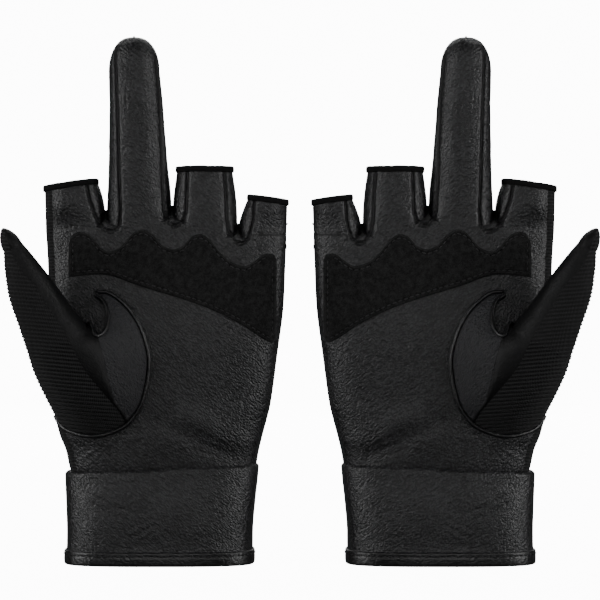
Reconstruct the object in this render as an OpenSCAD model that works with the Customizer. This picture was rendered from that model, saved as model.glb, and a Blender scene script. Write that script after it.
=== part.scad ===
// Pair of gloves with a full middle finger and thumb, and an open index, ring and little finger.
// The gloves stand on their cuff hems, palms towards -Y, fingers along +Z, mirrored about X = 0.

/* [Glove] */
// Height of the cuff from the hem to its top edge (mm)
cuff_h = 44.5; // [35:0.1:60]
// Height of the hand part from the cuff's top edge to the knuckle fold (mm)
hand_h = 106; // [85:0.1:130]
// Width across the palm at the knuckles (mm)
palm_w = 108.4; // [85:0.1:132]
// Depth of the hand part from palm to back at the knuckles (mm)
hand_d = 25; // [20:0.1:32]
// Distance between the two little-finger sides (mm)
pair_gap = 11; // [4:0.5:60]

/* [Fingers] */
// Middle finger from the knuckle fold to the middle joint (mm)
middle_base_l = 34; // [28:0.1:42]
// Middle finger from the middle joint to the end joint (mm)
middle_mid_l = 24.5; // [20:0.1:30]
// Middle finger from the end joint to the tip (mm)
middle_tip_l = 27; // [22:0.1:33]
// Open index finger beyond the knuckle fold (mm)
index_l = 20.3; // [16:0.1:32]
// Open ring finger beyond the knuckle fold (mm)
ring_l = 27.5; // [20:0.1:38]
// Open little finger beyond the knuckle fold (mm)
little_l = 13.7; // [11:0.1:22]
// Thumb from its foot fold to its joint (mm)
thumb_base_l = 25.4; // [21:0.1:32]
// Thumb from its joint to the tip (mm)
thumb_end_l = 27.4; // [22:0.1:34]

/* [Fabric] */
// Thickness of the leather and of the knit (mm)
cloth_t = 1.2; // [0.8:0.01:1.6]
// Thickness of the suede patch laid on the palm (mm)
patch_t = 0.8; // [0.5:0.01:1.2]
// Radius of the piping round the thumb gusset (mm)
welt_r = 0.9; // [0.6:0.01:1.3]
// Height of the binding on the open finger edges (mm)
binding_h = 2.4; // [1.5:0.1:4]
// How far the edge binding stands proud of the finger (mm)
binding_out = 0.5; // [0.2:0.1:1]
// Height of the folded hem at the bottom of the cuff (mm)
hem_h = 6; // [4:0.1:9]
// How far the fold of the hem stands proud of the cuff (mm)
hem_out = 0.6; // [0.2:0.1:1.2]
// Slack between pieces on either side of a fold (mm)
fold_gap = 0.3; // [0.2:0.05:0.6]
// Slack between pieces that are sewn together (mm)
seam = 0.1; // [0.05:0.01:0.2]

/* [Output] */
// Node to draw, or "all"

/* [Hidden] */
knuckle_z = cuff_h + hand_h;
middle_l = middle_base_l + middle_mid_l + middle_tip_l;
mid_joint_z = knuckle_z + middle_base_l;
end_joint_z = mid_joint_z + middle_mid_l;
middle_top = knuckle_z + middle_l;
index_top = knuckle_z + index_l;
ring_top = knuckle_z + ring_l;
little_top = knuckle_z + little_l;
thumb_l = thumb_base_l + thumb_end_l;

// Places of the drawn shape are carried to the set sizes by these.
function wide(x) = (x + 5.5) * palm_w / 108.4 - pair_gap / 2;
function deep(y) = y * hand_d / 25;
function high(z) = cuff_h + (z - 44.5) * hand_h / 106;
// Brings the middle of the pair's whole depth to Y = 0.
function place(p) = p + [0, deep(8.5), 0];
function section(r, z) = [z, wide(r[1]), wide(r[2]), deep(r[3]), deep(r[4]), r[5]];
function finger(t, length, drawn) =
    [for (r = t) section(r, knuckle_z + (r[0] - 150.5) * length / drawn)];

// Sections of the tubes: height, left, right, palm side, back side, squareness.
cuff_rows = [for (r = [
    [0, -104.9, -21.2, -22, 22, 2.5],
    [14, -104.6, -21.1, -22, 22, 2.5],
    [30, -105.1, -19.8, -21.8, 21.8, 2.5],
    [46, -105.5, -18.2, -21.6, 21.6, 2.5]]) section(r, r[0] * cuff_h / 44.5)];
hand_rows = [for (r = [
    [34.5, -98.5, -25.5, -15.5, 15.5, 2.5],
    [42.5, -102.5, -21.5, -17, 17, 2.5],
    [50.5, -104.6, -20, -17.2, 17, 2.5],
    [58, -108.3, -16.6, -17.6, 17, 2.6],
    [72, -111.2, -13, -18, 16.5, 2.8],
    [90, -112, -10.6, -18, 16, 3],
    [115, -112.8, -7.6, -17, 15, 3],
    [135, -113.6, -6.6, -15, 13.5, 3],
    [150.5, -114.4, -6, -12.5, 12.5, 3.1]]) section(r, high(r[0]))];
index_rows = finger([
    [150.5, -114.4, -87.6, -12.5, 12.5, 2.4],
    [158, -114.6, -87.8, -12.4, 12, 2.3],
    [174, -115, -93.3, -11.5, 10.5, 2.2]], index_l, 20.3);
middle_rows = finger([
    [150.5, -87.2, -57.6, -12.5, 12.5, 2.4],
    [161, -86.9, -58, -12.5, 12.2, 2.3],
    [185.4, -86, -60.1, -12.5, 11, 2.3],
    [208, -85.8, -61.8, -12.5, 9.5, 2.2],
    [225, -86.1, -63.6, -12.3, 7.5, 2.2],
    [229.5, -85.2, -64.7, -11.6, 6.6, 2.1],
    [233, -82.4, -67.2, -9.5, 4.6, 2],
    [235.2, -79.2, -70.4, -6.4, 1.6, 2],
    [236, -77.6, -72, -2.6, -2.2, 2]], middle_l, 85.5);
ring_rows = finger([
    [150.5, -57.2, -28.2, -12.5, 12.5, 2.4],
    [160, -57.1, -28.3, -12.3, 11.8, 2.3],
    [180, -54.8, -31, -11.4, 10.2, 2.2]], ring_l, 27.5);
little_rows = finger([
    [150.5, -27.8, -6, -11.5, 11.5, 2.4],
    [166, -21.8, -5.7, -10.5, 8.5, 2.2]], little_l, 13.7);
// Sections of the thumb across its own axis: distance along, outer, inner, back, front, squareness.
thumb_rows = [for (r = [
    [0, -14.6, 14.6, -12.6, 12.6, 2.1],
    [14, -12.8, 12.4, -11.2, 11.2, 2.1],
    [28, -10.6, 10.2, -9.8, 9.8, 2.1],
    [40, -8.6, 7.6, -8.2, 8.2, 2],
    [48, -6.4, 5.2, -6.2, 6.2, 2],
    [52.5, -3.8, 2.6, -3.4, 3.4, 2],
    [54, -2.4, 1.2, -0.2, 0.2, 2]]) [r[0] * thumb_l / 54,
    r[1] * palm_w / 108.4, r[2] * palm_w / 108.4, deep(r[3]), deep(r[4]), r[5]]];
thumb_base = [wide(-103.7), deep(-26), high(101.3)];
// Where the hood of the thumb meets the hand: angle round the thumb, X, height.
hood_rows = [for (r = [
    [-20, -89, 123],
    [0, -85.5, 121.5],
    [20, -76.5, 115],
    [40, -69.5, 103],
    [60, -67, 90],
    [80, -70, 73],
    [95, -78.5, 62],
    [120, -92, 58],
    [150, -104, 60.5],
    [180, -110.5, 68],
    [205, -111.6, 82]]) [r[0], wide(r[1]), high(r[2])]];
// Wavy top and sloping bottom of the suede patch: X, height.
patch_top = [for (r = [
    [-103.2, 144.4],
    [-98.5, 148.2],
    [-85.1, 139.6],
    [-70, 149.4],
    [-56.5, 140.8],
    [-44.6, 147.4],
    [-24.5, 133.2],
    [-13.5, 138],
    [-10.4, 136]]) [wide(r[0]), high(r[1])]];
patch_bottom = [for (r = [
    [-103.2, 128.2],
    [-88.5, 129.3],
    [-71.3, 124.2],
    [-42, 114.8],
    [-25.7, 106.9],
    [-14.5, 99.6],
    [-10.4, 100.4]]) [wide(r[0]), high(r[1])]];

// Row of a list at a given first value, straight between its neighbours.
function row(t, z) =
    let (i = max(0, min(len(t) - 2, len([for (r = t) if (r[0] <= z) 1]) - 1)))
    t[i] + (z - t[i][0]) / (t[i + 1][0] - t[i][0]) * (t[i + 1] - t[i]);
// The same with an even wave between neighbours.
function wave(t, x) =
    let (i = max(0, min(len(t) - 2, len([for (r = t) if (r[0] <= x) 1]) - 1)),
        k = (x - t[i][0]) / (t[i + 1][0] - t[i][0]))
    t[i][1] + (1 - cos(180 * k)) / 2 * (t[i + 1][1] - t[i][1]);
function rounded(c, n) = sign(c) * pow(abs(c), 2 / n);
// Point on a section at an angle: -90 is the palm side, 90 the back, in the section's own plane.
function around(r, th, inset) =
    let (a = (r[2] - r[1]) / 2, b = (r[4] - r[3]) / 2,
        ai = max(a - inset, a * 0.55), bi = max(b - inset, b * 0.55))
    [(r[1] + r[2]) / 2 + ai * rounded(cos(th), r[5]),
        (r[3] + r[4]) / 2 + bi * rounded(sin(th), r[5])];
// Point of an upright tube.
function tube(t, z, th, inset) = let (p = around(row(t, z), th, inset)) [p[0], p[1], z];
// Palm side of the hand at a place seen from the front, moved out by a distance.
function palm_y(x, z, out) =
    let (r = row(hand_rows, z), a = (r[2] - r[1]) / 2 + out, b = (r[4] - r[3]) / 2 + out,
        k = min(1, abs(x - (r[1] + r[2]) / 2) / a))
    (r[3] + r[4]) / 2 - b * pow(max(0, 1 - pow(k, r[5])), 1 / r[5]);
unit = function (v) v / norm(v);
thumb_d = unit([-23.8, -8, 46.4]);
thumb_in = unit([-thumb_d[2], 0, thumb_d[0]] * -1);
thumb_front = unit(cross(thumb_in, thumb_d));
function thumb_point(s, th, inset) =
    let (p = around(row(thumb_rows, s), th, inset))
    thumb_base + thumb_in * p[0] - thumb_front * p[1] + thumb_d * s;
// Hood between the thumb's foot ring and the hand: angle, share of the way down, inset.
function hood(th, v, inset) =
    let (a = thumb_point(-2 * fold_gap, -th, inset), h = row(hood_rows, th),
        edge = palm_y(h[1], h[2], -inset),
        b = [h[1] + inset * (h[1] < wide(-90) ? 0.7 : -0.7) * (th > 100 ? 1 : 0.6), edge, h[2]],
        m = a + v * (b - a))
    m + [-sin(180 * v) * 2.5 * sin(max(0, th - 90)), -sin(180 * v) * 4 * sin(max(0, min(180, th))), 0];
// The crease between gusset and thumb strip, and the seam between strip and knit.
function crease_th(v) = 20 + 72 * v;
function knit_th(v) = 72 + 25 * v;

// Closed solid between an outer sheet (k = 0) and an inner sheet (k = 1) over u, v in 0..1.
module sheet(f, nu, nv, flip = false) {
    w = nu + 1;
    n = w * (nv + 1);
    pts = [for (k = [0, 1]) for (j = [0:nv]) for (i = [0:nu]) place(f(i / nu, j / nv, k))];
    top = [for (j = [0:nv - 1]) for (i = [0:nu - 1]) let (q = j * w + i)
        each [[q, q + w, q + w + 1], [q, q + w + 1, q + 1]]];
    low = [for (t = top) [t[2] + n, t[1] + n, t[0] + n]];
    rim = concat(
        [for (i = [0:nu - 1]) [i, i + 1]],
        [for (j = [0:nv - 1]) [j * w + nu, j * w + nu + w]],
        [for (i = [nu:-1:1]) [nv * w + i, nv * w + i - 1]],
        [for (j = [nv:-1:1]) [j * w, j * w - w]]);
    side = [for (e = rim) each [[e[0], e[1], e[1] + n], [e[0], e[1] + n, e[0] + n]]];
    all = concat(top, low, side);
    polyhedron(pts, flip ? [for (t = all) [t[2], t[1], t[0]]] : all, convexity = 8);
}
// Closed band round a whole turn.
module band(f, nu, nv, flip = false) {
    n = nu * (nv + 1);
    pts = [for (k = [0, 1]) for (j = [0:nv]) for (i = [0:nu - 1]) place(f(i / nu, j / nv, k))];
    top = [for (j = [0:nv - 1]) for (i = [0:nu - 1])
        let (q = j * nu + i, p = j * nu + (i + 1) % nu)
        each [[q, q + nu, p + nu], [q, p + nu, p]]];
    low = [for (t = top) [t[2] + n, t[1] + n, t[0] + n]];
    ends = [for (i = [0:nu - 1]) let (m = (i + 1) % nu, a = nv * nu + i, b = nv * nu + m)
        each [[i, m, m + n], [i, m + n, i + n], [b, a, a + n], [b, a + n, b + n]]];
    all = concat(top, low, ends);
    polyhedron(pts, flip ? [for (t = all) [t[2], t[1], t[0]]] : all, convexity = 8);
}
// Round cord along a path of points.
module cord(path, r, sides) {
    m = len(path);
    pts = [for (i = [0:m - 1])
        let (d = unit(path[min(i + 1, m - 1)] - path[max(i - 1, 0)]),
            a = unit(cross(d, [0, 1, 0])), b = cross(a, d))
        for (k = [0:sides - 1])
            place(path[i] + r * (cos(360 * k / sides) * a + sin(360 * k / sides) * b))];
    wall = [for (i = [0:m - 2]) for (k = [0:sides - 1])
        let (q = i * sides + k, p = i * sides + (k + 1) % sides)
        each [[q, p, p + sides], [q, p + sides, q + sides]]];
    polyhedron(pts, concat(wall, [[for (k = [sides - 1:-1:0]) k]],
        [[for (k = [0:sides - 1]) (m - 1) * sides + k]]), convexity = 6);
}
// Piece of an upright tube between two angles and two heights; the top edge may slope with X.
module panel(t, th0, th1, z0, z1, nu, nv, slope = 0) {
    mid = (row(t, z1)[1] + row(t, z1)[2]) / 2;
    sheet(function (u, v, k)
        let (p = tube(t, z0 + v * (z1 - z0), th0 + u * (th1 - th0), k * cloth_t))
        p + [0, 0, slope * v * (p[0] - mid)], nu, nv);
}
// Piece of a closed fingertip; the inner sheet stops one thickness short of the tip.
module tip_panel(t, th0, th1, z0, z1, nu, nv) {
    sheet(function (u, v, k)
        let (w = 1 - pow(1 - v, 1.6), z = z0 + w * (z1 - z0))
        tube(t, z, th0 + u * (th1 - th0), k * cloth_t) - [0, 0, k * cloth_t * pow(w, 2)], nu, nv);
}
// Binding round an open finger edge.
module edge_binding(t, z1, slope) {
    mid = (row(t, z1)[1] + row(t, z1)[2]) / 2;
    band(function (u, v, k)
        let (p = tube(t, z1 - binding_h * (1 - v), 360 * u, k == 0 ? -binding_out : cloth_t))
        p + [0, 0, slope * (p[0] - mid)], 24, 1);
}
module thumb_panel(th0, th1, s0, s1, nu, nv, closed) {
    sheet(function (u, v, k)
        let (w = closed ? 1 - pow(1 - v, 1.5) : v)
        thumb_point(s0 + w * (s1 - s0), th0 + u * (th1 - th0), k * cloth_t)
        - thumb_d * (closed ? k * cloth_t * pow(w, 2) : 0), nu, nv);
}

module left_cuff_front() color("#2a2a2c")
    panel(cuff_rows, 180.03, 359.97, hem_h + seam, cuff_h, 16, 3);
module left_cuff_back() color("#2a2a2c")
    panel(cuff_rows, 0.03, 179.97, hem_h + seam, cuff_h, 16, 3);
module left_cuff_hem() color("#1c1c1e")
    band(function (u, v, k) tube(cuff_rows, v * hem_h, 360 * u, k == 0
        ? -hem_out * (0.8 + sin(180 * v)) : cloth_t + 0.4), 32, 3);
// Palm leather: its edge by the thumb follows the piping of the gusset.
function piping_x(z) =
    let (path = [for (r = hood_rows) if (r[0] <= 96) [r[2], r[1]]], n = len(path),
        up = [for (i = [n - 1:-1:0]) path[i]])
    row(up, z)[1];
palm_zs = [for (z = [34.5, 42.5, 50, 57.2, 58.4, 62, 68, 76, 84, 92, 100, 108, 115, 120.6, 122.4, 130, 140])
    high(z)];
module left_palm_panel() color("#2b2b2e") {
    n = len(palm_zs);
    sheet(function (u, v, k)
        let (j = round(v * n), z = j == n ? knuckle_z - fold_gap : palm_zs[j], r = row(hand_rows, z),
            c = (r[1] + r[2]) / 2, a = (r[2] - r[1]) / 2, open = z > high(58) && z < high(121),
            th0 = open ? 270 - asin(pow(min(1, abs(piping_x(z) + 0.5 - c) / a), r[5] / 2)) : 207,
            th1 = 351)
        tube(hand_rows, z, th0 + u * (th1 - th0), k * cloth_t), 12, n);
}
module left_suede_patch() color("#1f1f20")
    sheet(function (u, v, k)
        let (x = patch_top[0][0] + u * (patch_top[len(patch_top) - 1][0] - patch_top[0][0]), z0 = wave(patch_bottom, x), z1 = wave(patch_top, x),
            z = z0 + v * (z1 - z0))
        [x, palm_y(x, z, (k == 0 ? patch_t : 0) + 3 * seam), z], 28, 3);
module left_back_panel() color("#161617") {
    zs = [for (z = [34.5, 42.5, 50.5, 58, 70, 84, 98, 112, 124, 138, 150.5])
        high(z) - (z > 150 ? fold_gap : 0)];
    n = len(zs) - 1;
    // it gives way to the foot of the thumb beside the wrist
    turn = [215, 215, 212, 196, 191, 195, 206, 215, 215, 215, 215];
    sheet(function (u, v, k)
        let (j = round(v * n))
        tube(hand_rows, zs[j], -8.5 + u * turn[j], k * cloth_t), 18, n);
}
module left_thumb_gusset() color("#242426")
    sheet(function (u, v, k)
        let (vv = 0.06 + 0.92 * v)
        hood(-12 + u * (crease_th(vv) - 0.6 + 12), vv, k * cloth_t), 7, 8);
module left_gusset_piping() color("#303033")
    cord([for (th = [-4:8:96]) let (h = row(hood_rows, th))
        [h[1], palm_y(h[1], h[2], welt_r + 0.25), h[2]]], welt_r, 6);
module left_thumb_base_strip() color("#2a2a2c")
    sheet(function (u, v, k)
        let (vv = 0.01 + 0.95 * v)
        hood(crease_th(vv) + u * (knit_th(vv) - 0.6 - crease_th(vv)), vv, k * cloth_t), 3, 8);
module left_thumb_base_knit() color("#161617")
    sheet(function (u, v, k)
        let (vv = 0.01 + 0.93 * v)
        hood(knit_th(vv) + u * (195 - knit_th(vv)), vv, k * cloth_t), 10, 8);
// Bars between the finger openings, where the strips between the fingers end.
module left_crotch_webs() color("#2a2a2c")
    for (x = [wide(-87.4), wide(-57.4), wide(-28)])
        sheet(function (u, v, k)
            let (y = deep(10.2) * cos(180 * v), w = 1.5)
            [x - w + 2 * w * u, y, knuckle_z - fold_gap - (k == 0 ? 0 : 2.2) - 1.2 * pow(sin(180 * v), 2)],
            1, 8, true);

module left_index_front() color("#2b2b2e")
    panel(index_rows, 207, 379, knuckle_z + fold_gap, index_top - binding_h - seam, 10, 3, 0.14);
module left_index_back() color("#161617")
    panel(index_rows, 20, 206, knuckle_z + fold_gap, index_top - binding_h - seam, 10, 3, 0.14);
module left_index_binding() color("#101011") edge_binding(index_rows, index_top, 0.14);
module left_middle_front() color("#2b2b2e")
    panel(middle_rows, 161, 379, knuckle_z + fold_gap, mid_joint_z - fold_gap, 12, 4);
module left_middle_back() color("#161617")
    panel(middle_rows, 20, 160, knuckle_z + fold_gap, mid_joint_z - fold_gap, 9, 4);
module left_middle_mid_front() color("#2b2b2e")
    panel(middle_rows, 161, 379, mid_joint_z + fold_gap, end_joint_z - fold_gap, 12, 3);
module left_middle_mid_back() color("#161617")
    panel(middle_rows, 20, 160, mid_joint_z + fold_gap, end_joint_z - fold_gap, 9, 3);
module left_middle_tip_front() color("#2b2b2e")
    tip_panel(middle_rows, 180.3, 359.7, end_joint_z + fold_gap, middle_top, 12, 7);
module left_middle_tip_back() color("#161617")
    tip_panel(middle_rows, 0.3, 179.7, end_joint_z + fold_gap, middle_top, 12, 7);
module left_ring_front() color("#2b2b2e")
    panel(ring_rows, 161, 379, knuckle_z + fold_gap, ring_top - binding_h - seam, 12, 3);
module left_ring_back() color("#161617")
    panel(ring_rows, 20, 160, knuckle_z + fold_gap, ring_top - binding_h - seam, 9, 3);
module left_ring_binding() color("#101011") edge_binding(ring_rows, ring_top, 0);
module left_little_front() color("#2b2b2e")
    panel(little_rows, 161, 359, knuckle_z + fold_gap, little_top - binding_h - seam, 11, 2, -0.13);
module left_little_back() color("#161617")
    panel(little_rows, 0, 160, knuckle_z + fold_gap, little_top - binding_h - seam, 9, 2, -0.13);
module left_little_binding() color("#101011") edge_binding(little_rows, little_top, -0.13);
module left_thumb_strip() color("#2a2a2c")
    thumb_panel(-71.5, 71.5, fold_gap, thumb_base_l - fold_gap, 9, 3, false);
module left_thumb_knit() color("#161617")
    thumb_panel(72.5, 287.5, fold_gap, thumb_base_l - fold_gap, 12, 3, false);
module left_thumb_tip_strip() color("#2a2a2c")
    thumb_panel(-71.5, 71.5, thumb_base_l + fold_gap, thumb_l, 9, 6, true);
module left_thumb_tip_knit() color("#161617")
    thumb_panel(72.5, 287.5, thumb_base_l + fold_gap, thumb_l, 12, 6, true);

// The right glove is the left one mirrored.
module right_cuff_front() mirror([1, 0, 0]) left_cuff_front();
module right_cuff_back() mirror([1, 0, 0]) left_cuff_back();
module right_cuff_hem() mirror([1, 0, 0]) left_cuff_hem();
module right_palm_panel() mirror([1, 0, 0]) left_palm_panel();
module right_suede_patch() mirror([1, 0, 0]) left_suede_patch();
module right_back_panel() mirror([1, 0, 0]) left_back_panel();
module right_thumb_gusset() mirror([1, 0, 0]) left_thumb_gusset();
module right_gusset_piping() mirror([1, 0, 0]) left_gusset_piping();
module right_thumb_base_strip() mirror([1, 0, 0]) left_thumb_base_strip();
module right_thumb_base_knit() mirror([1, 0, 0]) left_thumb_base_knit();
module right_crotch_webs() mirror([1, 0, 0]) left_crotch_webs();
module right_index_front() mirror([1, 0, 0]) left_index_front();
module right_index_back() mirror([1, 0, 0]) left_index_back();
module right_index_binding() mirror([1, 0, 0]) left_index_binding();
module right_middle_front() mirror([1, 0, 0]) left_middle_front();
module right_middle_back() mirror([1, 0, 0]) left_middle_back();
module right_middle_mid_front() mirror([1, 0, 0]) left_middle_mid_front();
module right_middle_mid_back() mirror([1, 0, 0]) left_middle_mid_back();
module right_middle_tip_front() mirror([1, 0, 0]) left_middle_tip_front();
module right_middle_tip_back() mirror([1, 0, 0]) left_middle_tip_back();
module right_ring_front() mirror([1, 0, 0]) left_ring_front();
module right_ring_back() mirror([1, 0, 0]) left_ring_back();
module right_ring_binding() mirror([1, 0, 0]) left_ring_binding();
module right_little_front() mirror([1, 0, 0]) left_little_front();
module right_little_back() mirror([1, 0, 0]) left_little_back();
module right_little_binding() mirror([1, 0, 0]) left_little_binding();
module right_thumb_strip() mirror([1, 0, 0]) left_thumb_strip();
module right_thumb_knit() mirror([1, 0, 0]) left_thumb_knit();
module right_thumb_tip_strip() mirror([1, 0, 0]) left_thumb_tip_strip();
module right_thumb_tip_knit() mirror([1, 0, 0]) left_thumb_tip_knit();

left_cuff_front();
left_cuff_back();
left_cuff_hem();
left_palm_panel();
left_suede_patch();
left_back_panel();
left_thumb_gusset();
left_gusset_piping();
left_thumb_base_strip();
left_thumb_base_knit();
left_crotch_webs();
left_index_front();
left_index_back();
left_index_binding();
left_middle_front();
left_middle_back();
left_middle_mid_front();
left_middle_mid_back();
left_middle_tip_front();
left_middle_tip_back();
left_ring_front();
left_ring_back();
left_ring_binding();
left_little_front();
left_little_back();
left_little_binding();
left_thumb_strip();
left_thumb_knit();
left_thumb_tip_strip();
left_thumb_tip_knit();
right_cuff_front();
right_cuff_back();
right_cuff_hem();
right_palm_panel();
right_suede_patch();
right_back_panel();
right_thumb_gusset();
right_gusset_piping();
right_thumb_base_strip();
right_thumb_base_knit();
right_crotch_webs();
right_index_front();
right_index_back();
right_index_binding();
right_middle_front();
right_middle_back();
right_middle_mid_front();
right_middle_mid_back();
right_middle_tip_front();
right_middle_tip_back();
right_ring_front();
right_ring_back();
right_ring_binding();
right_little_front();
right_little_back();
right_little_binding();
right_thumb_strip();
right_thumb_knit();
right_thumb_tip_strip();
right_thumb_tip_knit();
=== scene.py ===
import math

import bpy
import numpy as np
from bpy.props import FloatProperty, PointerProperty, StringProperty
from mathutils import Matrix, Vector


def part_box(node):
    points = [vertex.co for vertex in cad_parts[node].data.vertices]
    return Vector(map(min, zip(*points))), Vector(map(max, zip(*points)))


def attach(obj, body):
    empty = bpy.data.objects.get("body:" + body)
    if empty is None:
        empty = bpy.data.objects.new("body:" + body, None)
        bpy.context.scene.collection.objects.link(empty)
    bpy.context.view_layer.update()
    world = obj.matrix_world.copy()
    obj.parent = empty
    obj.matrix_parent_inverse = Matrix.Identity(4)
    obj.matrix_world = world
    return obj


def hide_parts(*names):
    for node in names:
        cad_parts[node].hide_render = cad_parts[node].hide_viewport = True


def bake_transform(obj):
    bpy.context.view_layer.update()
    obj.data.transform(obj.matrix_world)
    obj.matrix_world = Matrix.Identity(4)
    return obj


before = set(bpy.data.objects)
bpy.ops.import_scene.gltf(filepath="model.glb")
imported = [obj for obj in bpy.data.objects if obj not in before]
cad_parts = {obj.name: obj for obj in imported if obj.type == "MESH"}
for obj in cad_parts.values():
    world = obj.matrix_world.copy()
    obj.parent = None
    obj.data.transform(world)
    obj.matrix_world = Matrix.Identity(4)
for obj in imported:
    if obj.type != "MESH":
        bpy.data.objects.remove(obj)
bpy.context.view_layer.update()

bl_info = {
    "name": "Pair of Open-Finger Gloves",
    "version": (1, 0, 0),
    "blender": (4, 5, 0),
    "location": "3D View > Sidebar > Gloves",
    "description": "Leather and knit gloves, sewn piece by piece round the packed frame",
    "category": "Object",
}

MM = 0.001
SIDES = (("left", 1), ("right", -1))


# ---------------------------------------------------------------- the frame
def low(node, axis):
    """Lowest coordinate of a CAD node on an axis, in mm."""
    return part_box(node)[0][axis] / MM


def top(node, axis):
    """Highest coordinate of a CAD node on an axis, in mm."""
    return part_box(node)[1][axis] / MM


FOLD_GAP = 0.3  # between the CAD pieces on the two sides of a fold
CUFF_H = top("left_cuff_front", 2)
KNUCKLE_Z = top("left_palm_panel", 2) + FOLD_GAP
PALM_W = top("left_back_panel", 0) - low("left_back_panel", 0)
HEM_H = top("left_cuff_hem", 2)
MID_JOINT_Z = top("left_middle_front", 2) + FOLD_GAP
END_JOINT_Z = top("left_middle_mid_front", 2) + FOLD_GAP
MIDDLE_TOP = top("left_middle_tip_front", 2)
INDEX_TOP = KNUCKLE_Z + 20.3
RING_TOP = top("left_ring_binding", 2)
LITTLE_TOP = KNUCKLE_Z + 13.7
FINGER_OUT_Z = 149  # the fingers come out of the palm here
FINGER_FOOT_Z = 141  # where the fingers start, inside the palm
TUCK = 0.5  # how far the hidden one of two layers lies inside the other
MID_DEPTH = 8.5  # Y of the middle of the hand; the thumbs reach further towards the palm side
CLOTH = 1.2
THIN_CLOTH = 0.9
# The tables below are drawn for a palm, a cuff and a hand of these sizes.
DRAWN_PALM_W, DRAWN_CUFF_H, DRAWN_HAND_H = 108.4, 44.5, 106
HALF_PAIR_GAP = 5.5


def wide(x):
    """X of a drawn place, carried to the palm's real width."""
    return (np.asarray(x, float) + HALF_PAIR_GAP) * PALM_W / DRAWN_PALM_W - HALF_PAIR_GAP


def high(z):
    """Height of a drawn place on the hand, carried to the hand's real length."""
    return CUFF_H + (np.asarray(z, float) - DRAWN_CUFF_H) * (KNUCKLE_Z - CUFF_H) / DRAWN_HAND_H


# ---------------------------------------------------------------- shapes of the glove
# Sections of a tube: height, left, right, palm side, back side, squareness.
CUFF = np.array([
    [0, -104.9, -21.2, -22, 22, 3.1],
    [14, -104.6, -21.1, -21.9, 22, 3.1],
    [28, -105, -20, -21, 21.2, 3.1],
    [38, -105.4, -18.9, -19.6, 19.8, 3.1],
    [46, -105.5, -18.2, -18.6, 18.8, 3.1]])
HAND = np.array([
    [36, -101, -23, -15.6, 15.5, 2.5],
    [42.5, -103.6, -19.9, -17, 17, 2.5],
    [50.5, -105.4, -18.4, -17.6, 17.2, 2.5],
    [58, -108.3, -16.6, -17.9, 17, 2.6],
    [72, -111.2, -13, -18, 16.5, 2.8],
    [90, -112, -10.6, -18, 16, 3],
    [115, -112.8, -7.6, -16.6, 15, 3],
    [135, -113.6, -6.6, -14.7, 13.5, 3],
    [150.5, -114.4, -6, -13.2, 12.5, 3.1],
    [162, -114.6, -6, -12.6, 12.2, 3.1]])
INDEX = np.array([
    [140, -113.6, -88.4, -14.1, 12.9, 2.5],
    [150.5, -114.4, -87.6, -13.2, 12.5, 2.5],
    [158, -114.6, -87.9, -12.7, 12, 2.4],
    [175, -115, -93.3, -11.5, 10.5, 2.2]])
MIDDLE = np.array([
    [140, -86.6, -58.2, -14.1, 12.9, 2.5],
    [150.5, -87.2, -57.6, -13.2, 12.5, 2.4],
    [161, -86.9, -58, -12.8, 12.2, 2.3],
    [185.4, -86, -60.1, -12.5, 11, 2.3],
    [208, -85.8, -61.8, -12.3, 9.5, 2.2],
    [222, -86.1, -63.3, -11.6, 7.8, 2.2]])
RING = np.array([
    [140, -56.6, -28.8, -14.1, 12.9, 2.5],
    [150.5, -57.2, -28.2, -13.2, 12.5, 2.4],
    [160, -57.1, -28.4, -12.6, 11.8, 2.3],
    [180, -54.8, -31, -11.4, 10.2, 2.2]])
LITTLE = np.array([
    [140, -27.2, -6.6, -13.4, 12, 2.5],
    [150.5, -27.6, -6, -12.2, 11.5, 2.4],
    [166, -21.8, -5.7, -10.5, 8.5, 2.2]])
for _rows in (HAND, INDEX, MIDDLE, RING, LITTLE):
    _rows[:, 1:3] = wide(_rows[:, 1:3])
FINGERS = (INDEX, MIDDLE, RING, LITTLE)
# Along X: heights at which the palm turns in below the webs, and of the webs themselves.
WEBS = np.array([[-116, 150.4, 158.5], [-85, 150.4, 158.5], [-72, 152, 160],
                 [-56.5, 153, 160.5], [-43, 149, 157], [-27.3, 144.8, 152.5],
                 [-4, 144.8, 152.5]])
# U-shaped seams between the fingers, seen from the palm side: X, height.
WEB_SEAMS = (
    np.array([[-95, 169], [-93.7, 162.5], [-91.1, 155.6], [-87.7, 150], [-85.4, 148.7],
              [-83.3, 148.5], [-81.4, 149.6], [-80.6, 151.8], [-80.1, 158.2],
              [-80.8, 175.4], [-81.2, 188.3], [-81.8, 205.6], [-82.7, 231.4]]),
    np.array([[-64.4, 227.1], [-62.7, 209.8], [-61.8, 192.6], [-61.4, 175.4],
              [-61, 166.8], [-60.5, 158.2], [-59.2, 154], [-57.2, 151.6], [-55.4, 151.1],
              [-53.4, 151.9], [-51.7, 154.3], [-50.8, 158.2], [-50.6, 166.8],
              [-50.4, 176]]),
    np.array([[-33.8, 178], [-33, 166.8], [-32.5, 153.9], [-31.2, 148.2], [-29, 144.2],
              [-27, 142.9], [-24.9, 143.4], [-22.8, 146], [-20.9, 153.9],
              [-20.3, 164]]))
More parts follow.
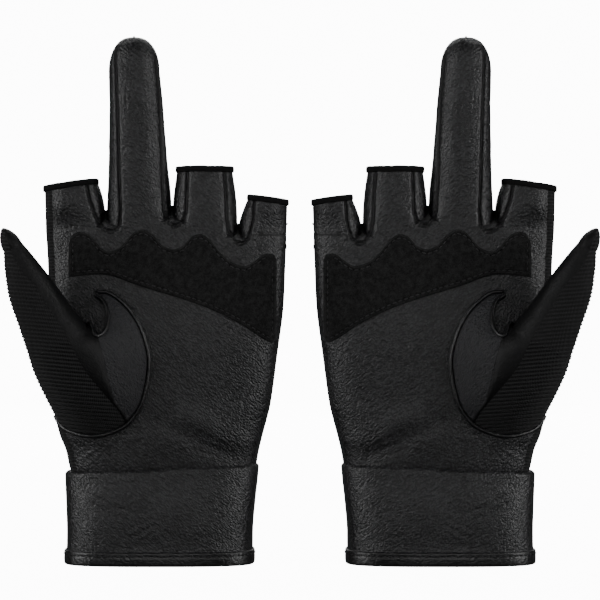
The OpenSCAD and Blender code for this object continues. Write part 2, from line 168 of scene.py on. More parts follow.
# Sections of the thumb: distance along it, outer, inner, back, front, squareness.
THUMB = np.array([
    [-4, -18.6, 12.2, -13, 13, 2.1],
    [0, -17.8, 11.2, -12.6, 12.6, 2.1],
    [14, -15.4, 8.5, -10.8, 10.8, 2.1],
    [28, -13.2, 6.7, -9.1, 9.1, 2.1],
    [40, -8.8, 4.4, -7.2, 7.2, 2.1],
    [46, -5.9, 2.9, -5.7, 5.7, 2.1]])
THUMB_ROUND = 46.0  # distance along the thumb at which its tip starts to close
THUMB_TIP = 55.4
THUMB_FOOT = np.array([float(wide(-103.7)), -26, float(high(101.3))])
THUMB_ALONG = np.array([-23.8, -8, 46.4]) / np.linalg.norm([-23.8, -8, 46.4])
THUMB_IN = np.array([THUMB_ALONG[2], 0, -THUMB_ALONG[0]])
THUMB_IN /= np.linalg.norm(THUMB_IN)
THUMB_FRONT = np.cross(THUMB_IN, THUMB_ALONG)
# Where the hood of the thumb meets the hand: angle round the thumb, X, height.
HOOD = np.array([
    [-20, -89, 123], [-8, -90.5, 121.8], [0, -86.8, 121.6], [20, -77.5, 115.6],
    [40, -69.8, 103], [60, -67, 90], [80, -70, 73], [95, -78.5, 61.5],
    [120, -92, 57.4], [150, -104, 60], [180, -110.4, 68], [205, -111.6, 82]])
NOTCH = (0.3, 31)  # share of the way down the hood, turning angle
HOOD_START, HOOD_END = -12, 203  # turning angles between which the hood joins thumb and hand
# The seam between the thumb's strip and knit: X at each height.
KNIT_SEAM = np.array([
    [50, -73], [62.5, -76.8], [68.6, -79.7], [75.4, -84.8], [81.4, -89.7], [88, -94.7],
    [95, -98.2], [104.6, -102.6], [116.4, -110.6], [124.2, -114.9], [128.3, -119],
    [133.5, -123.2], [141, -126.4], [148.4, -128.6], [156, -131]])
PATCH_TOP = np.array([
    [-103.2, 141.6], [-102.6, 145], [-100.6, 147.6], [-97.6, 148.4], [-94.3, 147.2],
    [-91.4, 144.3], [-88.6, 141], [-85.1, 139.6], [-80.2, 141.3], [-73, 148.6], [-70, 149.4], [-67, 148],
    [-60.5, 141.8], [-56.5, 140.6], [-52.2, 142], [-47.5, 146.6], [-44.6, 147.4],
    [-41.4, 145.9], [-35.5, 139], [-29.6, 134.4], [-24.5, 133.2], [-20.2, 135.2],
    [-14.6, 138.8], [-11.6, 138.2], [-10.4, 135.6]])
PATCH_BOTTOM = np.array([
    [-103.2, 128.2], [-88.5, 129.3], [-71.3, 124.2], [-42, 114.8], [-25.7, 106.9],
    [-14.5, 99.6], [-12.4, 98.8], [-10.4, 101.4]])
for _line in (PATCH_TOP, PATCH_BOTTOM):
    _line[:, 0] = wide(_line[:, 0])


def ease(t):
    """Smooth step: 3t2 - 2t3 of t held between 0 and 1."""
    t = np.clip(t, 0, 1)
    return t * t * (3 - 2 * t)


def glide(table, at):
    """Rows of a table at any first value, by cubic curves whose slope at each row is the harmonic mean of
    its neighbours' slopes, so they never overshoot."""
    x, y = table[:, 0], table[:, 1:]
    step = np.diff(x)[:, None]
    rise = np.diff(y, axis=0) / step
    slope = np.zeros_like(y)
    a, b = rise[:-1], rise[1:]
    same = a * b > 0
    slope[1:-1][same] = 2 * a[same] * b[same] / (a[same] + b[same])
    slope[0], slope[-1] = rise[0], rise[-1]
    at = np.asarray(at, float)
    i = np.clip(np.searchsorted(x, at) - 1, 0, len(x) - 2)
    h = step[i][..., 0][..., None]
    t = np.clip((at - x[i]) / h[..., 0], 0, 1)[..., None]
    return ((2 * t**3 - 3 * t**2 + 1) * y[i] + (t**3 - 2 * t**2 + t) * h * slope[i]
            + (3 * t**2 - 2 * t**3) * y[i + 1] + (t**3 - t**2) * h * slope[i + 1])


def around(rows, at, turn, inset=0.0):
    """Point of a section: a superellipse, whose sides are half width and half depth less inset, at a
    turning angle in degrees. 270 is the palm side and 90 the back."""
    r = glide(rows, at)
    a = (r[..., 1] - r[..., 0]) / 2 - inset
    b = (r[..., 3] - r[..., 2]) / 2 - inset
    c, s = np.cos(np.radians(turn)), np.sin(np.radians(turn))
    power = 2 / r[..., 4]
    return ((r[..., 0] + r[..., 1]) / 2 + a * np.sign(c) * np.abs(c) ** power,
            (r[..., 2] + r[..., 3]) / 2 + b * np.sign(s) * np.abs(s) ** power)


def even_turns(rows, at, start, end, count):
    """Turning angles from start to end that part a section into equal lengths."""
    fine = np.linspace(start, end, 4001)
    x, y = around(rows, np.full_like(fine, at), fine)
    way = np.concatenate([[0], np.cumsum(np.hypot(np.diff(x), np.diff(y)))])
    return np.interp(np.linspace(0, way[-1], count), way, fine)


def side_depth(rows, x, z, back=False):
    """Depth of a tube's palm side or back at a place seen from the front: the superellipse solved for Y,
    and 0 beside the tube."""
    r = glide(rows, z)
    a, k = (r[..., 1] - r[..., 0]) / 2, (r[..., 0] + r[..., 1]) / 2
    depth = r[..., 3] if back else -r[..., 2]
    return depth * np.maximum(0, 1 - np.minimum(1, np.abs(x - k) / a) ** r[..., 4]) ** (
        1 / r[..., 4])


def finger_depth(x, z, back=False):
    """Depth of whichever finger is at a place seen from the front."""
    return np.max([side_depth(f, x, z, back) for f in FINGERS], axis=0)


def distance(x, z, line):
    """Distance in mm from each place to a line of straight stretches, and how far along the line its foot
    is."""
    best = np.full(np.shape(x), 1e9)
    along = np.zeros(np.shape(x))
    gone = 0.0
    for a, b in zip(line[:-1], line[1:]):
        d = b - a
        length = np.hypot(*d)
        t = np.clip(((x - a[0]) * d[0] + (z - a[1]) * d[1]) / length**2, 0, 1)
        away = np.hypot(x - a[0] - t * d[0], z - a[1] - t * d[1])
        near = away < best
        best = np.where(near, away, best)
        along = np.where(near, gone + t * length, along)
        gone += length
    return best, along


def curve_through(points, count):
    """Even points along the smooth curve through a few given points, cubic in the way along them."""
    way = np.concatenate([[0], np.cumsum(np.linalg.norm(np.diff(points, axis=0), axis=1))])
    fine = glide(np.column_stack([way, points]), np.linspace(0, way[-1], 2000))
    way = np.concatenate([[0], np.cumsum(np.linalg.norm(np.diff(fine, axis=0), axis=1))])
    at = np.linspace(0, way[-1], count)
    return np.column_stack([np.interp(at, way, fine[:, k]) for k in range(fine.shape[1])])


def swell(x, z, size, seed):
    """Smooth random height from -1 to 1: random numbers on a square lattice of that size in mm, eased
    between its corners."""
    rng = np.random.default_rng(seed)
    lattice = rng.uniform(-1, 1, (64, 64))
    u, v = np.asarray(x) / size + 100.3, np.asarray(z) / size + 100.7
    i, j = np.floor(u).astype(int), np.floor(v).astype(int)
    s, t = ease(u - i), ease(v - j)
    i, j, k, m = i % 64, j % 64, (i + 1) % 64, (j + 1) % 64
    return ((lattice[i, j] * (1 - s) + lattice[k, j] * s) * (1 - t)
            + (lattice[i, m] * (1 - s) + lattice[k, m] * s) * t)


def web_seam_distance(x, z):
    """Distance in mm to the nearest seam between the fingers."""
    return np.min([distance(x, z, line)[0] for line in WEB_SEAMS], axis=0)


def pocket_side(x, z):
    """Distance to the nearest seam between the fingers, negative inside the pocket that its U encloses."""
    inside = np.zeros(np.shape(x), bool)
    for line in WEB_SEAMS:
        k = line[:, 1].argmin()
        left = np.interp(z, line[k::-1, 1], line[k::-1, 0])
        right = np.interp(z, line[k:, 1], line[k:, 0])
        inside |= (x > left) & (x < right) & (z > line[k, 1])
    return np.where(inside, -1, 1) * web_seam_distance(x, z)


def flush(own, x, z, back):
    """Depth of a finger's front or back near its foot: its own depth, brought level with the hand outside
    the pockets, and let go over 13 mm."""
    hand = np.where(back, side_depth(HAND, x, z, True), side_depth(HAND, x, z))
    share = (1 - ease((z - FINGER_OUT_Z) / 13)) * ease(pocket_side(x, z) / 4)
    return own + share * (hand - own)


def sewn_share(away):
    """1 on a seam, 0 from 0.75 mm beside it."""
    return np.clip(1.25 - away / 0.6, 0, 1)


def creases(x, z, line, pitch, width, seed):
    """Wrinkles that run beside a line: a wave across it, bent and broken up by slow random swells, and
    gone at width from the line and at its ends."""
    away, along = distance(x, z, line)
    length = np.sum(np.hypot(*np.diff(line, axis=0).T))
    over = np.where(z > np.interp(x, line[:, 0], line[:, 1]), 1, -1)
    phase = over * away / pitch + 0.9 * swell(along * 0.7, 0.35 * away * over, 2.2 * pitch, seed)
    broken = ease(0.5 + 0.9 * swell(along * 0.8, away * over * 1.6, 2.4 * pitch, seed + 200))
    fade = ease(np.minimum(along, length - along) / (0.3 * length))
    return np.cos(2 * np.pi * phase) * broken * (1 - ease(away / width)) * fade


WRINKLES = (  # line, pitch, width, height, seed: where the leather folds when a hand closes
    (np.array([[-111, 146], [-99, 150.5], [-88, 145.5]]), 2.3, 5.5, 0.20, 11),
    (np.array([[-82, 146], [-74, 151], [-62, 147.5]]), 2.6, 6, 0.16, 12),
    (np.array([[-54, 147], [-43, 152.5], [-33, 147]]), 2.6, 5.5, 0.13, 13),
    (np.array([[-28, 139], [-19, 142.5], [-8, 141.5]]), 2.4, 6, 0.24, 14),
    (np.array([[-107, 129], [-97, 133], [-88, 127]]), 2.8, 6, 0.14, 15),
    (np.array([[-103, 46], [-88, 56], [-66, 55]]), 3.4, 8, 0.22, 16),
    (np.array([[-64, 59], [-46, 56], [-30, 49]]), 3.6, 9, 0.16, 17),
    (np.array([[-20, 84], [-29, 68], [-38, 58]]), 3.6, 9, 0.16, 18),
    (np.array([[-60, 108], [-52, 96], [-46, 84]]), 4.2, 10, 0.10, 19))


def palm_relief(x, z):
    """Height in mm that stretched, worn leather stands proud of its section: slow swells, wrinkles, one
    slack fold above the cuff, and a groove with two lips at each seam between fingers."""
    calm = 1 - 0.35 * ease((z - 120) / 20)
    h = (0.34 * swell(x, z, 24, 1) + 0.15 * swell(x, z, 9, 2)) * calm
    for line, pitch, width, height, seed in WRINKLES:
        h = h + height * creases(x, z, line, pitch, width, seed)
    fold, _ = distance(x, z, np.array([[-62, 63], [-48, 57], [-30, 48]]))
    beside, _ = distance(x, z, np.array([[-48, 66], [-34, 58], [-19, 52]]))
    h = h - 0.5 * np.exp(-(fold / 4) ** 2) + 0.7 * np.exp(-(beside / 6) ** 2)
    return h + seam_relief(web_seam_distance(x, z))


def seam_relief(away):
    """Cross-section of a sewn seam: a groove 0.65 mm deep between two low lips."""
    return -0.65 * np.exp(-(away / 0.62) ** 2) + 0.08 * np.exp(-((away - 1.9) / 0.9) ** 2)


# ---------------------------------------------------------------- meshes
def normals_of(p, wrap=False):
    """Outward unit normals of a grid of points: across the grid crossed with up the grid."""
    if wrap:
        du = np.roll(p, -1, 1) - np.roll(p, 1, 1)
    else:
        du = np.gradient(p, axis=1)
    n = np.cross(du, np.gradient(p, axis=0))
    return n / np.maximum(np.linalg.norm(n, axis=2, keepdims=True), 1e-9)


def level_normals(x, y):
    """Outward unit normals of a closed level line, taken as one row of an upright wall."""
    base = np.stack([x, y, 0 * x], -1)[None]
    return normals_of(np.concatenate([base, base + [0, 0, 1]]), True)[0]


def put_mesh(name, points, quads, uv, material, mirror, attributes=(), sharp=50):
    """Object of a closed quad mesh. points are in mm about the hand's mid depth; mirror -1 makes the right
    glove's, with its faces turned round."""
    mesh = bpy.data.meshes.new(name)
    co = (points + [0, MID_DEPTH, 0]) * [mirror * MM, MM, MM]
    if mirror < 0:
        quads = quads[:, ::-1]
    mesh.vertices.add(len(co))
    mesh.vertices.foreach_set("co", co.astype(np.float32).ravel())
    mesh.loops.add(quads.size)
    mesh.polygons.add(len(quads))
    mesh.polygons.foreach_set("loop_start", np.arange(0, quads.size, 4, dtype=np.int32))
    mesh.polygons.foreach_set("vertices", quads.astype(np.int32).ravel())
    layer = mesh.uv_layers.new(name="UVMap")
    layer.data.foreach_set("uv", uv[quads].astype(np.float32).ravel())
    # every point keeps its place in the left glove, so that grain and ribs mirror and stay with the cloth
    # when it folds
    mesh.attributes.new("cut", "FLOAT_VECTOR", "POINT").data.foreach_set(
        "vector", (points * MM).astype(np.float32).ravel())
    for key, values in attributes:
        mesh.attributes.new(key, "FLOAT", "POINT").data.foreach_set(
            "value", values.astype(np.float32).ravel())
    mesh.update(calc_edges=True)
    mesh.validate()
    mesh.shade_smooth()
    mesh.set_sharp_from_angle(angle=math.radians(sharp))
    mesh.materials.append(material)
    piece = bpy.data.objects.new(name, mesh)
    bpy.context.scene.collection.objects.link(piece)
    return piece


def grid_quads(rows, cols, wrap=False):
    """Corner numbers of the quads of a grid, counted row by row."""
    j, i = np.meshgrid(np.arange(rows - 1), np.arange(cols if wrap else cols - 1),
                       indexing="ij")
    a, b = j * cols + i, j * cols + (i + 1) % cols
    return np.stack([a, b, b + cols, a + cols], -1).reshape(-1, 4)


def ring_quads(rows, cols):
    """Corner numbers of the quads of a grid that closes both ways, as the surface of a ring does."""
    i = np.arange(cols)
    after = (i + 1) % cols
    final = (rows - 1) * cols
    return np.concatenate([grid_quads(rows, cols, True), np.stack([final + i, final + after, after, i], -1)])


def shell(name, p, uv, material, mirror, thick=CLOTH, wrap=False, attributes=(), sharp=50):
    """Closed shell of cloth: the given grid outside, the same grid moved in by the thickness along its
    normals, and strips round the edges."""
    rows, cols = p.shape[:2]
    n = rows * cols
    inner = p - normals_of(p, wrap) * thick
    outside = grid_quads(rows, cols, wrap)
    j = np.arange(rows - 1) * cols
    i = np.arange(cols if wrap else cols - 1)
    k = (i + 1) % cols
    last = (rows - 1) * cols
    edges = [np.stack([k, i, i + n, k + n], -1),
             np.stack([last + i, last + k, last + k + n, last + i + n], -1)]
    if not wrap:
        edges += [np.stack([j, j + cols, j + cols + n, j + n], -1),
                  np.stack([j + 2 * cols - 1, j + cols - 1, j + cols - 1 + n,
                            j + 2 * cols - 1 + n], -1)]
    quads = np.concatenate([outside, outside[:, ::-1] + n] + edges)
    points = np.concatenate([p.reshape(-1, 3), inner.reshape(-1, 3)])
    uvs = np.tile(uv.reshape(-1, 2), (2, 1))
    both = [(key, np.concatenate([v.ravel(), np.zeros(n)])) for key, v in attributes]
    return put_mesh(name, points, quads, uvs, material, mirror, both, sharp)


def way_uv(p):
    """UV of a grid in mm: the way gone across it and the way gone up it."""
    u = np.concatenate([np.zeros((p.shape[0], 1)), np.cumsum(
        np.linalg.norm(np.diff(p, axis=1), axis=2), axis=1)], axis=1)
    v = np.concatenate([np.zeros((1, p.shape[1])), np.cumsum(
        np.linalg.norm(np.diff(p, axis=0), axis=2), axis=0)], axis=0)
    return np.stack([u, v], -1)


def tube_along(path, radius, sides):
    """Points of a round cord: circles square to the path, pinched to a twentieth at its two ends."""
    d = np.gradient(path, axis=0)
    d /= np.linalg.norm(d, axis=1, keepdims=True)
    a = np.cross([0.0, 1.0, 0.0], d)
    a /= np.linalg.norm(a, axis=1, keepdims=True)
    b = np.cross(d, a)
    turn = np.linspace(0, 2 * np.pi, sides, endpoint=False)
    r = np.full(len(path), float(radius))
    r[[0, -1]] *= 0.05
    ring = np.cos(turn)[None, :, None] * a[:, None] + np.sin(turn)[None, :, None] * b[:, None]
    return path[:, None] + r[:, None, None] * ring


def cord_mesh(name, path, radius, material, mirror, sides):
    """A round cord along a path as its own piece, pinched shut at its ends."""
    p = tube_along(path, radius, sides)
    rows, cols = p.shape[:2]
    quads = grid_quads(rows, cols, True)
    caps = []
    for row, back in ((0, True), (rows - 1, False)):
        ring = row * cols + np.arange(cols)
        half = cols // 2
        cap = np.stack([ring[:half - 1], ring[1:half], ring[::-1][1:half], ring[::-1][:half - 1]], -1)
        caps.append(cap[:, ::-1] if back else cap)
    quads = np.concatenate([quads] + caps)
    return put_mesh(name, p.reshape(-1, 3), quads, way_uv(p).reshape(-1, 2), material, mirror)


def stitches(name, lines, sizes, material, mirror):
    """Rows of running stitches as one piece: a capsule of thread for each, cut from the line at a steady
    pitch and sunk halfway into the leather."""
    length, pitch, radius = sizes.stitch_length / MM, sizes.stitch_pitch / MM, sizes.thread_radius / MM
    points, quads, uvs, n = [], [], [], 0
    for line in lines:
        way = np.concatenate([[0], np.cumsum(np.linalg.norm(np.diff(line, axis=0), axis=1))])
        starts = np.arange(0.5, way[-1] - length, pitch)
        at = starts[:, None] + np.linspace(0, length, 6)[None]
        path = np.stack([np.interp(at, way, line[:, k]) for k in range(3)], -1)
        dip = 0.35 * radius * np.cos(np.linspace(-np.pi, np.pi, 6))
        path[..., 1] -= dip[None]
        d = path[:, -1] - path[:, 0]
        d /= np.linalg.norm(d, axis=1, keepdims=True)
        a = np.cross([0.0, 1.0, 0.0], d)
        a /= np.linalg.norm(a, axis=1, keepdims=True)
        b = np.cross(d, a)
        turn = np.linspace(0, 2 * np.pi, 6, endpoint=False)
        ring = (np.cos(turn)[None, :, None] * a[:, None] + np.sin(turn)[None, :, None] * b[:, None])
        size = radius * np.array([0.25, 0.8, 1, 1, 0.8, 0.25])
        p = path[:, :, None] + size[None, :, None, None] * ring[:, None]
        one = grid_quads(6, 6, True)
        cap = np.array([[2, 1, 0, 5], [5, 4, 3, 2]])
        one = np.concatenate([one, cap, cap[:, ::-1] + 30])
        count = len(starts)
        quads.append((one[None] + 36 * np.arange(count)[:, None, None]).reshape(-1, 4) + n)
        points.append(p.reshape(-1, 3))
        uvs.append(p.reshape(-1, 3)[:, [0, 2]])
        n += 36 * count
    return put_mesh(name, np.concatenate(points), np.concatenate(quads), np.concatenate(uvs),
                    material, mirror, sharp=80)


# ---------------------------------------------------------------- materials
def linear(code):
    """Linear colour of an sRGB hex value: each channel's value over 12.92 when dark, else ((c + 0.055) /
    1.055) to the power 2.4."""
    c = np.array([int(code[i:i + 2], 16) for i in (0, 2, 4)]) / 255
    return (*np.where(c <= 0.04045, c / 12.92, ((c + 0.055) / 1.055) ** 2.4), 1.0)


def node(tree, kind, inputs=None, out=0, **settings):
    """Adds a node, sets its properties, gives each input a value or a link, and returns one of its
    outputs."""
    made = tree.nodes.new(kind)
    for key, value in settings.items():
        setattr(made, key, value)
    for key, value in (inputs or {}).items():
        if isinstance(value, bpy.types.NodeSocket):
            tree.links.new(value, made.inputs[key])
        else:
            made.inputs[key].default_value = value
    return made.outputs[out] if made.outputs else None


def fresh(name):
    """Empty node material with its tree, its Principled shader and each point's place in the left glove."""
    material = bpy.data.materials.get(name) or bpy.data.materials.new(name)
    material.use_nodes = True
    tree = material.node_tree
    tree.nodes.clear()
    shader = tree.nodes.new("ShaderNodeBsdfPrincipled")
    node(tree, "ShaderNodeOutputMaterial", {"Surface": shader.outputs[0]})
    place = node(tree, "ShaderNodeAttribute", out="Vector", attribute_name="cut")
    return material, tree, shader, place


def finish_with(tree, shader, **values):
    """Links or sets the shader's sockets; a double underscore stands for a space."""
    for key, value in values.items():
        socket = shader.inputs[key.replace("__", " ")]
        if isinstance(value, bpy.types.NodeSocket):
            tree.links.new(value, socket)
        else:
            socket.default_value = value


def dressed_leather(name, sizes, colours, gloss=0.40, grain=1.0, streaks=1.0, shine=0.55):
    """Aniline-dyed goat leather, drum dyed black, milled for its pebbled grain and wiped with a satin
    finish: soft broad highlights broken up by the grain, and paler where the tops of the grain are
    rubbed."""
    material, tree, shader, place = fresh(name)
    pebble = 1 / sizes.grain_size
    warp = node(tree, "ShaderNodeTexNoise", {"Vector": place, "Scale": pebble * 0.35, "Detail": 2.0}, "Color")
    bent = node(tree, "ShaderNodeVectorMath", {0: warp, 1: (0.0012, 0.0012, 0.0012), 2: place},
                operation="MULTIPLY_ADD")
    # the hide is pulled along the palm's diagonal, so its pebbles are longer that way
    pulled = node(tree, "ShaderNodeMapping", {"Vector": bent, "Rotation": (0, math.radians(38), 0),
                                              "Scale": (1.5, 1, 1)}, vector_type="TEXTURE")
    cells = node(tree, "ShaderNodeTexVoronoi", {"Vector": pulled, "Scale": pebble, "Smoothness": 0.35},
                 "Distance", feature="SMOOTH_F1")
    drawn = node(tree, "ShaderNodeMapping", {"Vector": bent, "Rotation": (0, math.radians(40), 0),
                                             "Scale": (3.2, 1.5, 1)}, vector_type="TEXTURE")
    lines = node(tree, "ShaderNodeTexNoise", {"Vector": drawn, "Scale": pebble * 0.9, "Detail": 3.0,
                                              "Roughness": 0.6})
    pores = node(tree, "ShaderNodeTexNoise", {"Vector": place, "Scale": pebble * 3.2, "Detail": 2.0})
    wear = node(tree, "ShaderNodeTexNoise", {"Vector": place, "Scale": 38.0, "Detail": 4.0, "Roughness": 0.6})
    height = node(tree, "ShaderNodeMath", {0: cells, 1: -1.0 * grain, 2: 0.0}, operation="MULTIPLY_ADD")
    height = node(tree, "ShaderNodeMath", {0: lines, 1: 1.5 * streaks, 2: height}, operation="MULTIPLY_ADD")
    height = node(tree, "ShaderNodeMath", {0: pores, 1: 0.25 * grain, 2: height}, operation="MULTIPLY_ADD")
    # thread pulls the leather down into a dark line at each seam; on the palm the same attribute also paints
    # shade at the bottoms of the pockets between the fingers
    sewn = node(tree, "ShaderNodeAttribute", out="Fac", attribute_name="sewn")
    height = node(tree, "ShaderNodeMath", {0: sewn, 1: -2.0, 2: height}, operation="MULTIPLY_ADD")
    bump = node(tree, "ShaderNodeBump", {"Height": height, "Strength": 0.95, "Distance": 0.00026})
    # the dye is worn off the tops of the grain and stays in its valleys and along the seams; through the same
    # mix the palm's pocket bottoms are painted dark as shade
    worn = node(tree, "ShaderNodeMath", {0: height, 1: 1.5, 2: wear}, operation="MULTIPLY_ADD")
    rubbed = node(tree, "ShaderNodeMath", {0: worn, 1: 0.85}, operation="SUBTRACT", use_clamp=True)
    tint = node(tree, "ShaderNodeMix", {0: rubbed, 6: linear(colours.leather_deep),
                                        7: linear(colours.leather)}, 2, data_type="RGBA")
    rough = node(tree, "ShaderNodeMath", {0: wear, 1: 0.16, 2: gloss - 0.09}, operation="MULTIPLY_ADD")
    rough = node(tree, "ShaderNodeMath", {0: sewn, 1: 0.3, 2: rough}, operation="MULTIPLY_ADD")
    finish_with(tree, shader, Normal=bump, Base__Color=tint, Roughness=rough, IOR=1.5,
                Specular__IOR__Level=shine)
    return material


def brushed_suede(name, colours):
    """Split hide brushed to a short nap: no gloss, cloudy light and dark where the nap leans, a faint pale
    edge to every curve."""
    material, tree, shader, place = fresh(name)
    cloud = node(tree, "ShaderNodeTexNoise", {"Vector": place, "Scale": 420.0, "Detail": 5.0,
                                              "Roughness": 0.7})
    nap = node(tree, "ShaderNodeTexNoise", {"Vector": place, "Scale": 1900.0, "Detail": 3.0,
                                            "Roughness": 0.7})
    both = node(tree, "ShaderNodeMath", {0: cloud, 1: nap}, operation="ADD")
    share = node(tree, "ShaderNodeMath", {0: both, 1: 2.4, 2: -1.95}, operation="MULTIPLY_ADD",
                 use_clamp=True)
    tint = node(tree, "ShaderNodeMix", {0: share, 6: linear(colours.suede_deep), 7: linear(colours.suede)},
                2, data_type="RGBA")
    bump = node(tree, "ShaderNodeBump", {"Height": both, "Strength": 0.8, "Distance": 0.0002})
    finish_with(tree, shader, Base__Color=tint, Normal=bump, Roughness=0.95, IOR=1.45,
                Specular__IOR__Level=0.18, Sheen__Weight=0.12, Sheen__Roughness=0.5)
    return material


def rib_knit(name, colours, pitch, slant=0.0, depth=1.0):
    """Polyester rib knit, drawn through a warp of elastic: rows of small loops that stand up as ribs,
    matt, with a painted highlight on each loop and painted shade, near black, between the ribs."""
    material, tree, shader, place = fresh(name)
    # rows of loops across the glove, and the loops along each row, half a loop on in the next
    rate = 2 * math.pi / pitch
    row = node(tree, "ShaderNodeVectorMath", {0: place, 1: (slant * rate, 0, rate)}, "Value",
               operation="DOT_PRODUCT")
    rib = node(tree, "ShaderNodeMath", {0: row}, operation="COSINE")
    step = 2 * math.pi / (pitch * 0.62)
    way = node(tree, "ShaderNodeVectorMath", {0: place, 1: (step, 0.8 * step, math.pi / pitch)}, "Value",
               operation="DOT_PRODUCT")
    loop = node(tree, "ShaderNodeMath", {0: way}, operation="COSINE")
    fuzz = node(tree, "ShaderNodeTexNoise", {"Vector": place, "Scale": 2600.0, "Detail": 2.0})
    height = node(tree, "ShaderNodeMath", {0: loop, 1: 0.25, 2: rib}, operation="MULTIPLY_ADD")
    height = node(tree, "ShaderNodeMath", {0: fuzz, 1: 0.6, 2: height}, operation="MULTIPLY_ADD")
    bump = node(tree, "ShaderNodeBump", {"Height": height, "Strength": 0.8, "Distance": 0.00022 * depth})
    # painted highlight on the tops of the loops and painted shade between the ribs: the colour follows the
    # rib height
    share = node(tree, "ShaderNodeMath", {0: height, 1: 0.42, 2: 0.12}, operation="MULTIPLY_ADD",
                 use_clamp=True)
    tint = node(tree, "ShaderNodeMix", {0: share, 6: linear(colours.knit_deep), 7: linear(colours.knit)}, 2,
                data_type="RGBA")
    finish_with(tree, shader, Normal=bump, Base__Color=tint, Roughness=0.72, IOR=1.5,
                Specular__IOR__Level=0.3, Sheen__Weight=0.08)
    return material


def back_knit(sizes, colours):
    """The knit of the back and of the fingers' backs, coarse enough for its ribs to show."""
    return rib_knit("elastic_rib_knit_back", colours, sizes.back_rib, depth=2.0)


def thumb_knit(sizes, colours):
    """The knit of the thumb, whose ribs fall a little towards the fingers."""
    return rib_knit("elastic_rib_knit_thumb", colours, sizes.thumb_rib, slant=0.09)


def smooth_leather(sizes, colours):
    """Leather stretched over the hem's fold and the piping, which flattens its grain."""
    return dressed_leather("smooth_goat_leather", sizes, colours, gloss=0.36, grain=0.5, streaks=0.6)


def strip_leather(sizes, colours):
    """Thin, dull leather of the strip on the thumb."""
    return dressed_leather("smooth_goat_leather_strip", sizes, colours, gloss=0.55, grain=0.4,
                           streaks=0.4, shine=0.25)


def woven_tape(name, colours):
    """Folded grosgrain tape, woven of dull cotton: fine cross ribs, no gloss."""
    material, tree, shader, place = fresh(name)
    uv = node(tree, "ShaderNodeTexCoord", out="UV")
    # the UV map is in millimetres; threads lie 0.7 mm apart across and 0.55 mm along
    across = node(tree, "ShaderNodeVectorMath", {0: uv, 1: (2 * math.pi / 0.7, 0, 0)}, "Value",
                  operation="DOT_PRODUCT")
    along = node(tree, "ShaderNodeVectorMath", {0: uv, 1: (0, 2 * math.pi / 0.55, 0)}, "Value",
                 operation="DOT_PRODUCT")
    weft = node(tree, "ShaderNodeMath", {0: across}, operation="COSINE")
    warp = node(tree, "ShaderNodeMath", {0: along}, operation="COSINE")
    fuzz = node(tree, "ShaderNodeTexNoise", {"Vector": place, "Scale": 2400.0, "Detail": 2.0})
    height = node(tree, "ShaderNodeMath", {0: weft, 1: warp, 2: fuzz}, operation="MULTIPLY_ADD")
    bump = node(tree, "ShaderNodeBump", {"Height": height, "Strength": 0.6, "Distance": 0.00012})
    share = node(tree, "ShaderNodeMath", {0: height, 1: 0.25, 2: 0.4}, operation="MULTIPLY_ADD",
                 use_clamp=True)
    tint = node(tree, "ShaderNodeMix", {0: share, 6: linear(colours.tape_deep), 7: linear(colours.tape)}, 2,
                data_type="RGBA")
    finish_with(tree, shader, Normal=bump, Base__Color=tint, Roughness=0.85, Specular__IOR__Level=0.2)
    return material


def bonded_thread(name, colours):
    """Three-ply bonded nylon thread: twisted, with a low waxy shine."""
    material, tree, shader, place = fresh(name)
    twist = node(tree, "ShaderNodeTexWave", {"Vector": place, "Scale": 900.0, "Distortion": 1.0}, "Fac")
    bump = node(tree, "ShaderNodeBump", {"Height": twist, "Strength": 0.4, "Distance": 0.00008})
    tint = node(tree, "ShaderNodeMix", {0: twist, 6: linear(colours.leather_deep),
                                        7: linear(colours.thread)}, 2, data_type="RGBA")
    finish_with(tree, shader, Normal=bump, Base__Color=tint, Roughness=0.5)
    return material


def matt_paper(name, colours):
    """Seamless studio paper: matt, pale, with a barely visible tooth."""
    material, tree, shader, place = fresh(name)
    tooth = node(tree, "ShaderNodeTexNoise", {"Vector": place, "Scale": 700.0, "Detail": 2.0})
    tint = node(tree, "ShaderNodeMix", {0: tooth, 6: linear("F6F6F6"), 7: linear(colours.floor)}, 2,
                data_type="RGBA")
    finish_with(tree, shader, Base__Color=tint, Roughness=0.9, Specular__IOR__Level=0.1,
                Emission__Color=(1, 1, 1, 1), Emission__Strength=12.0)
    return material


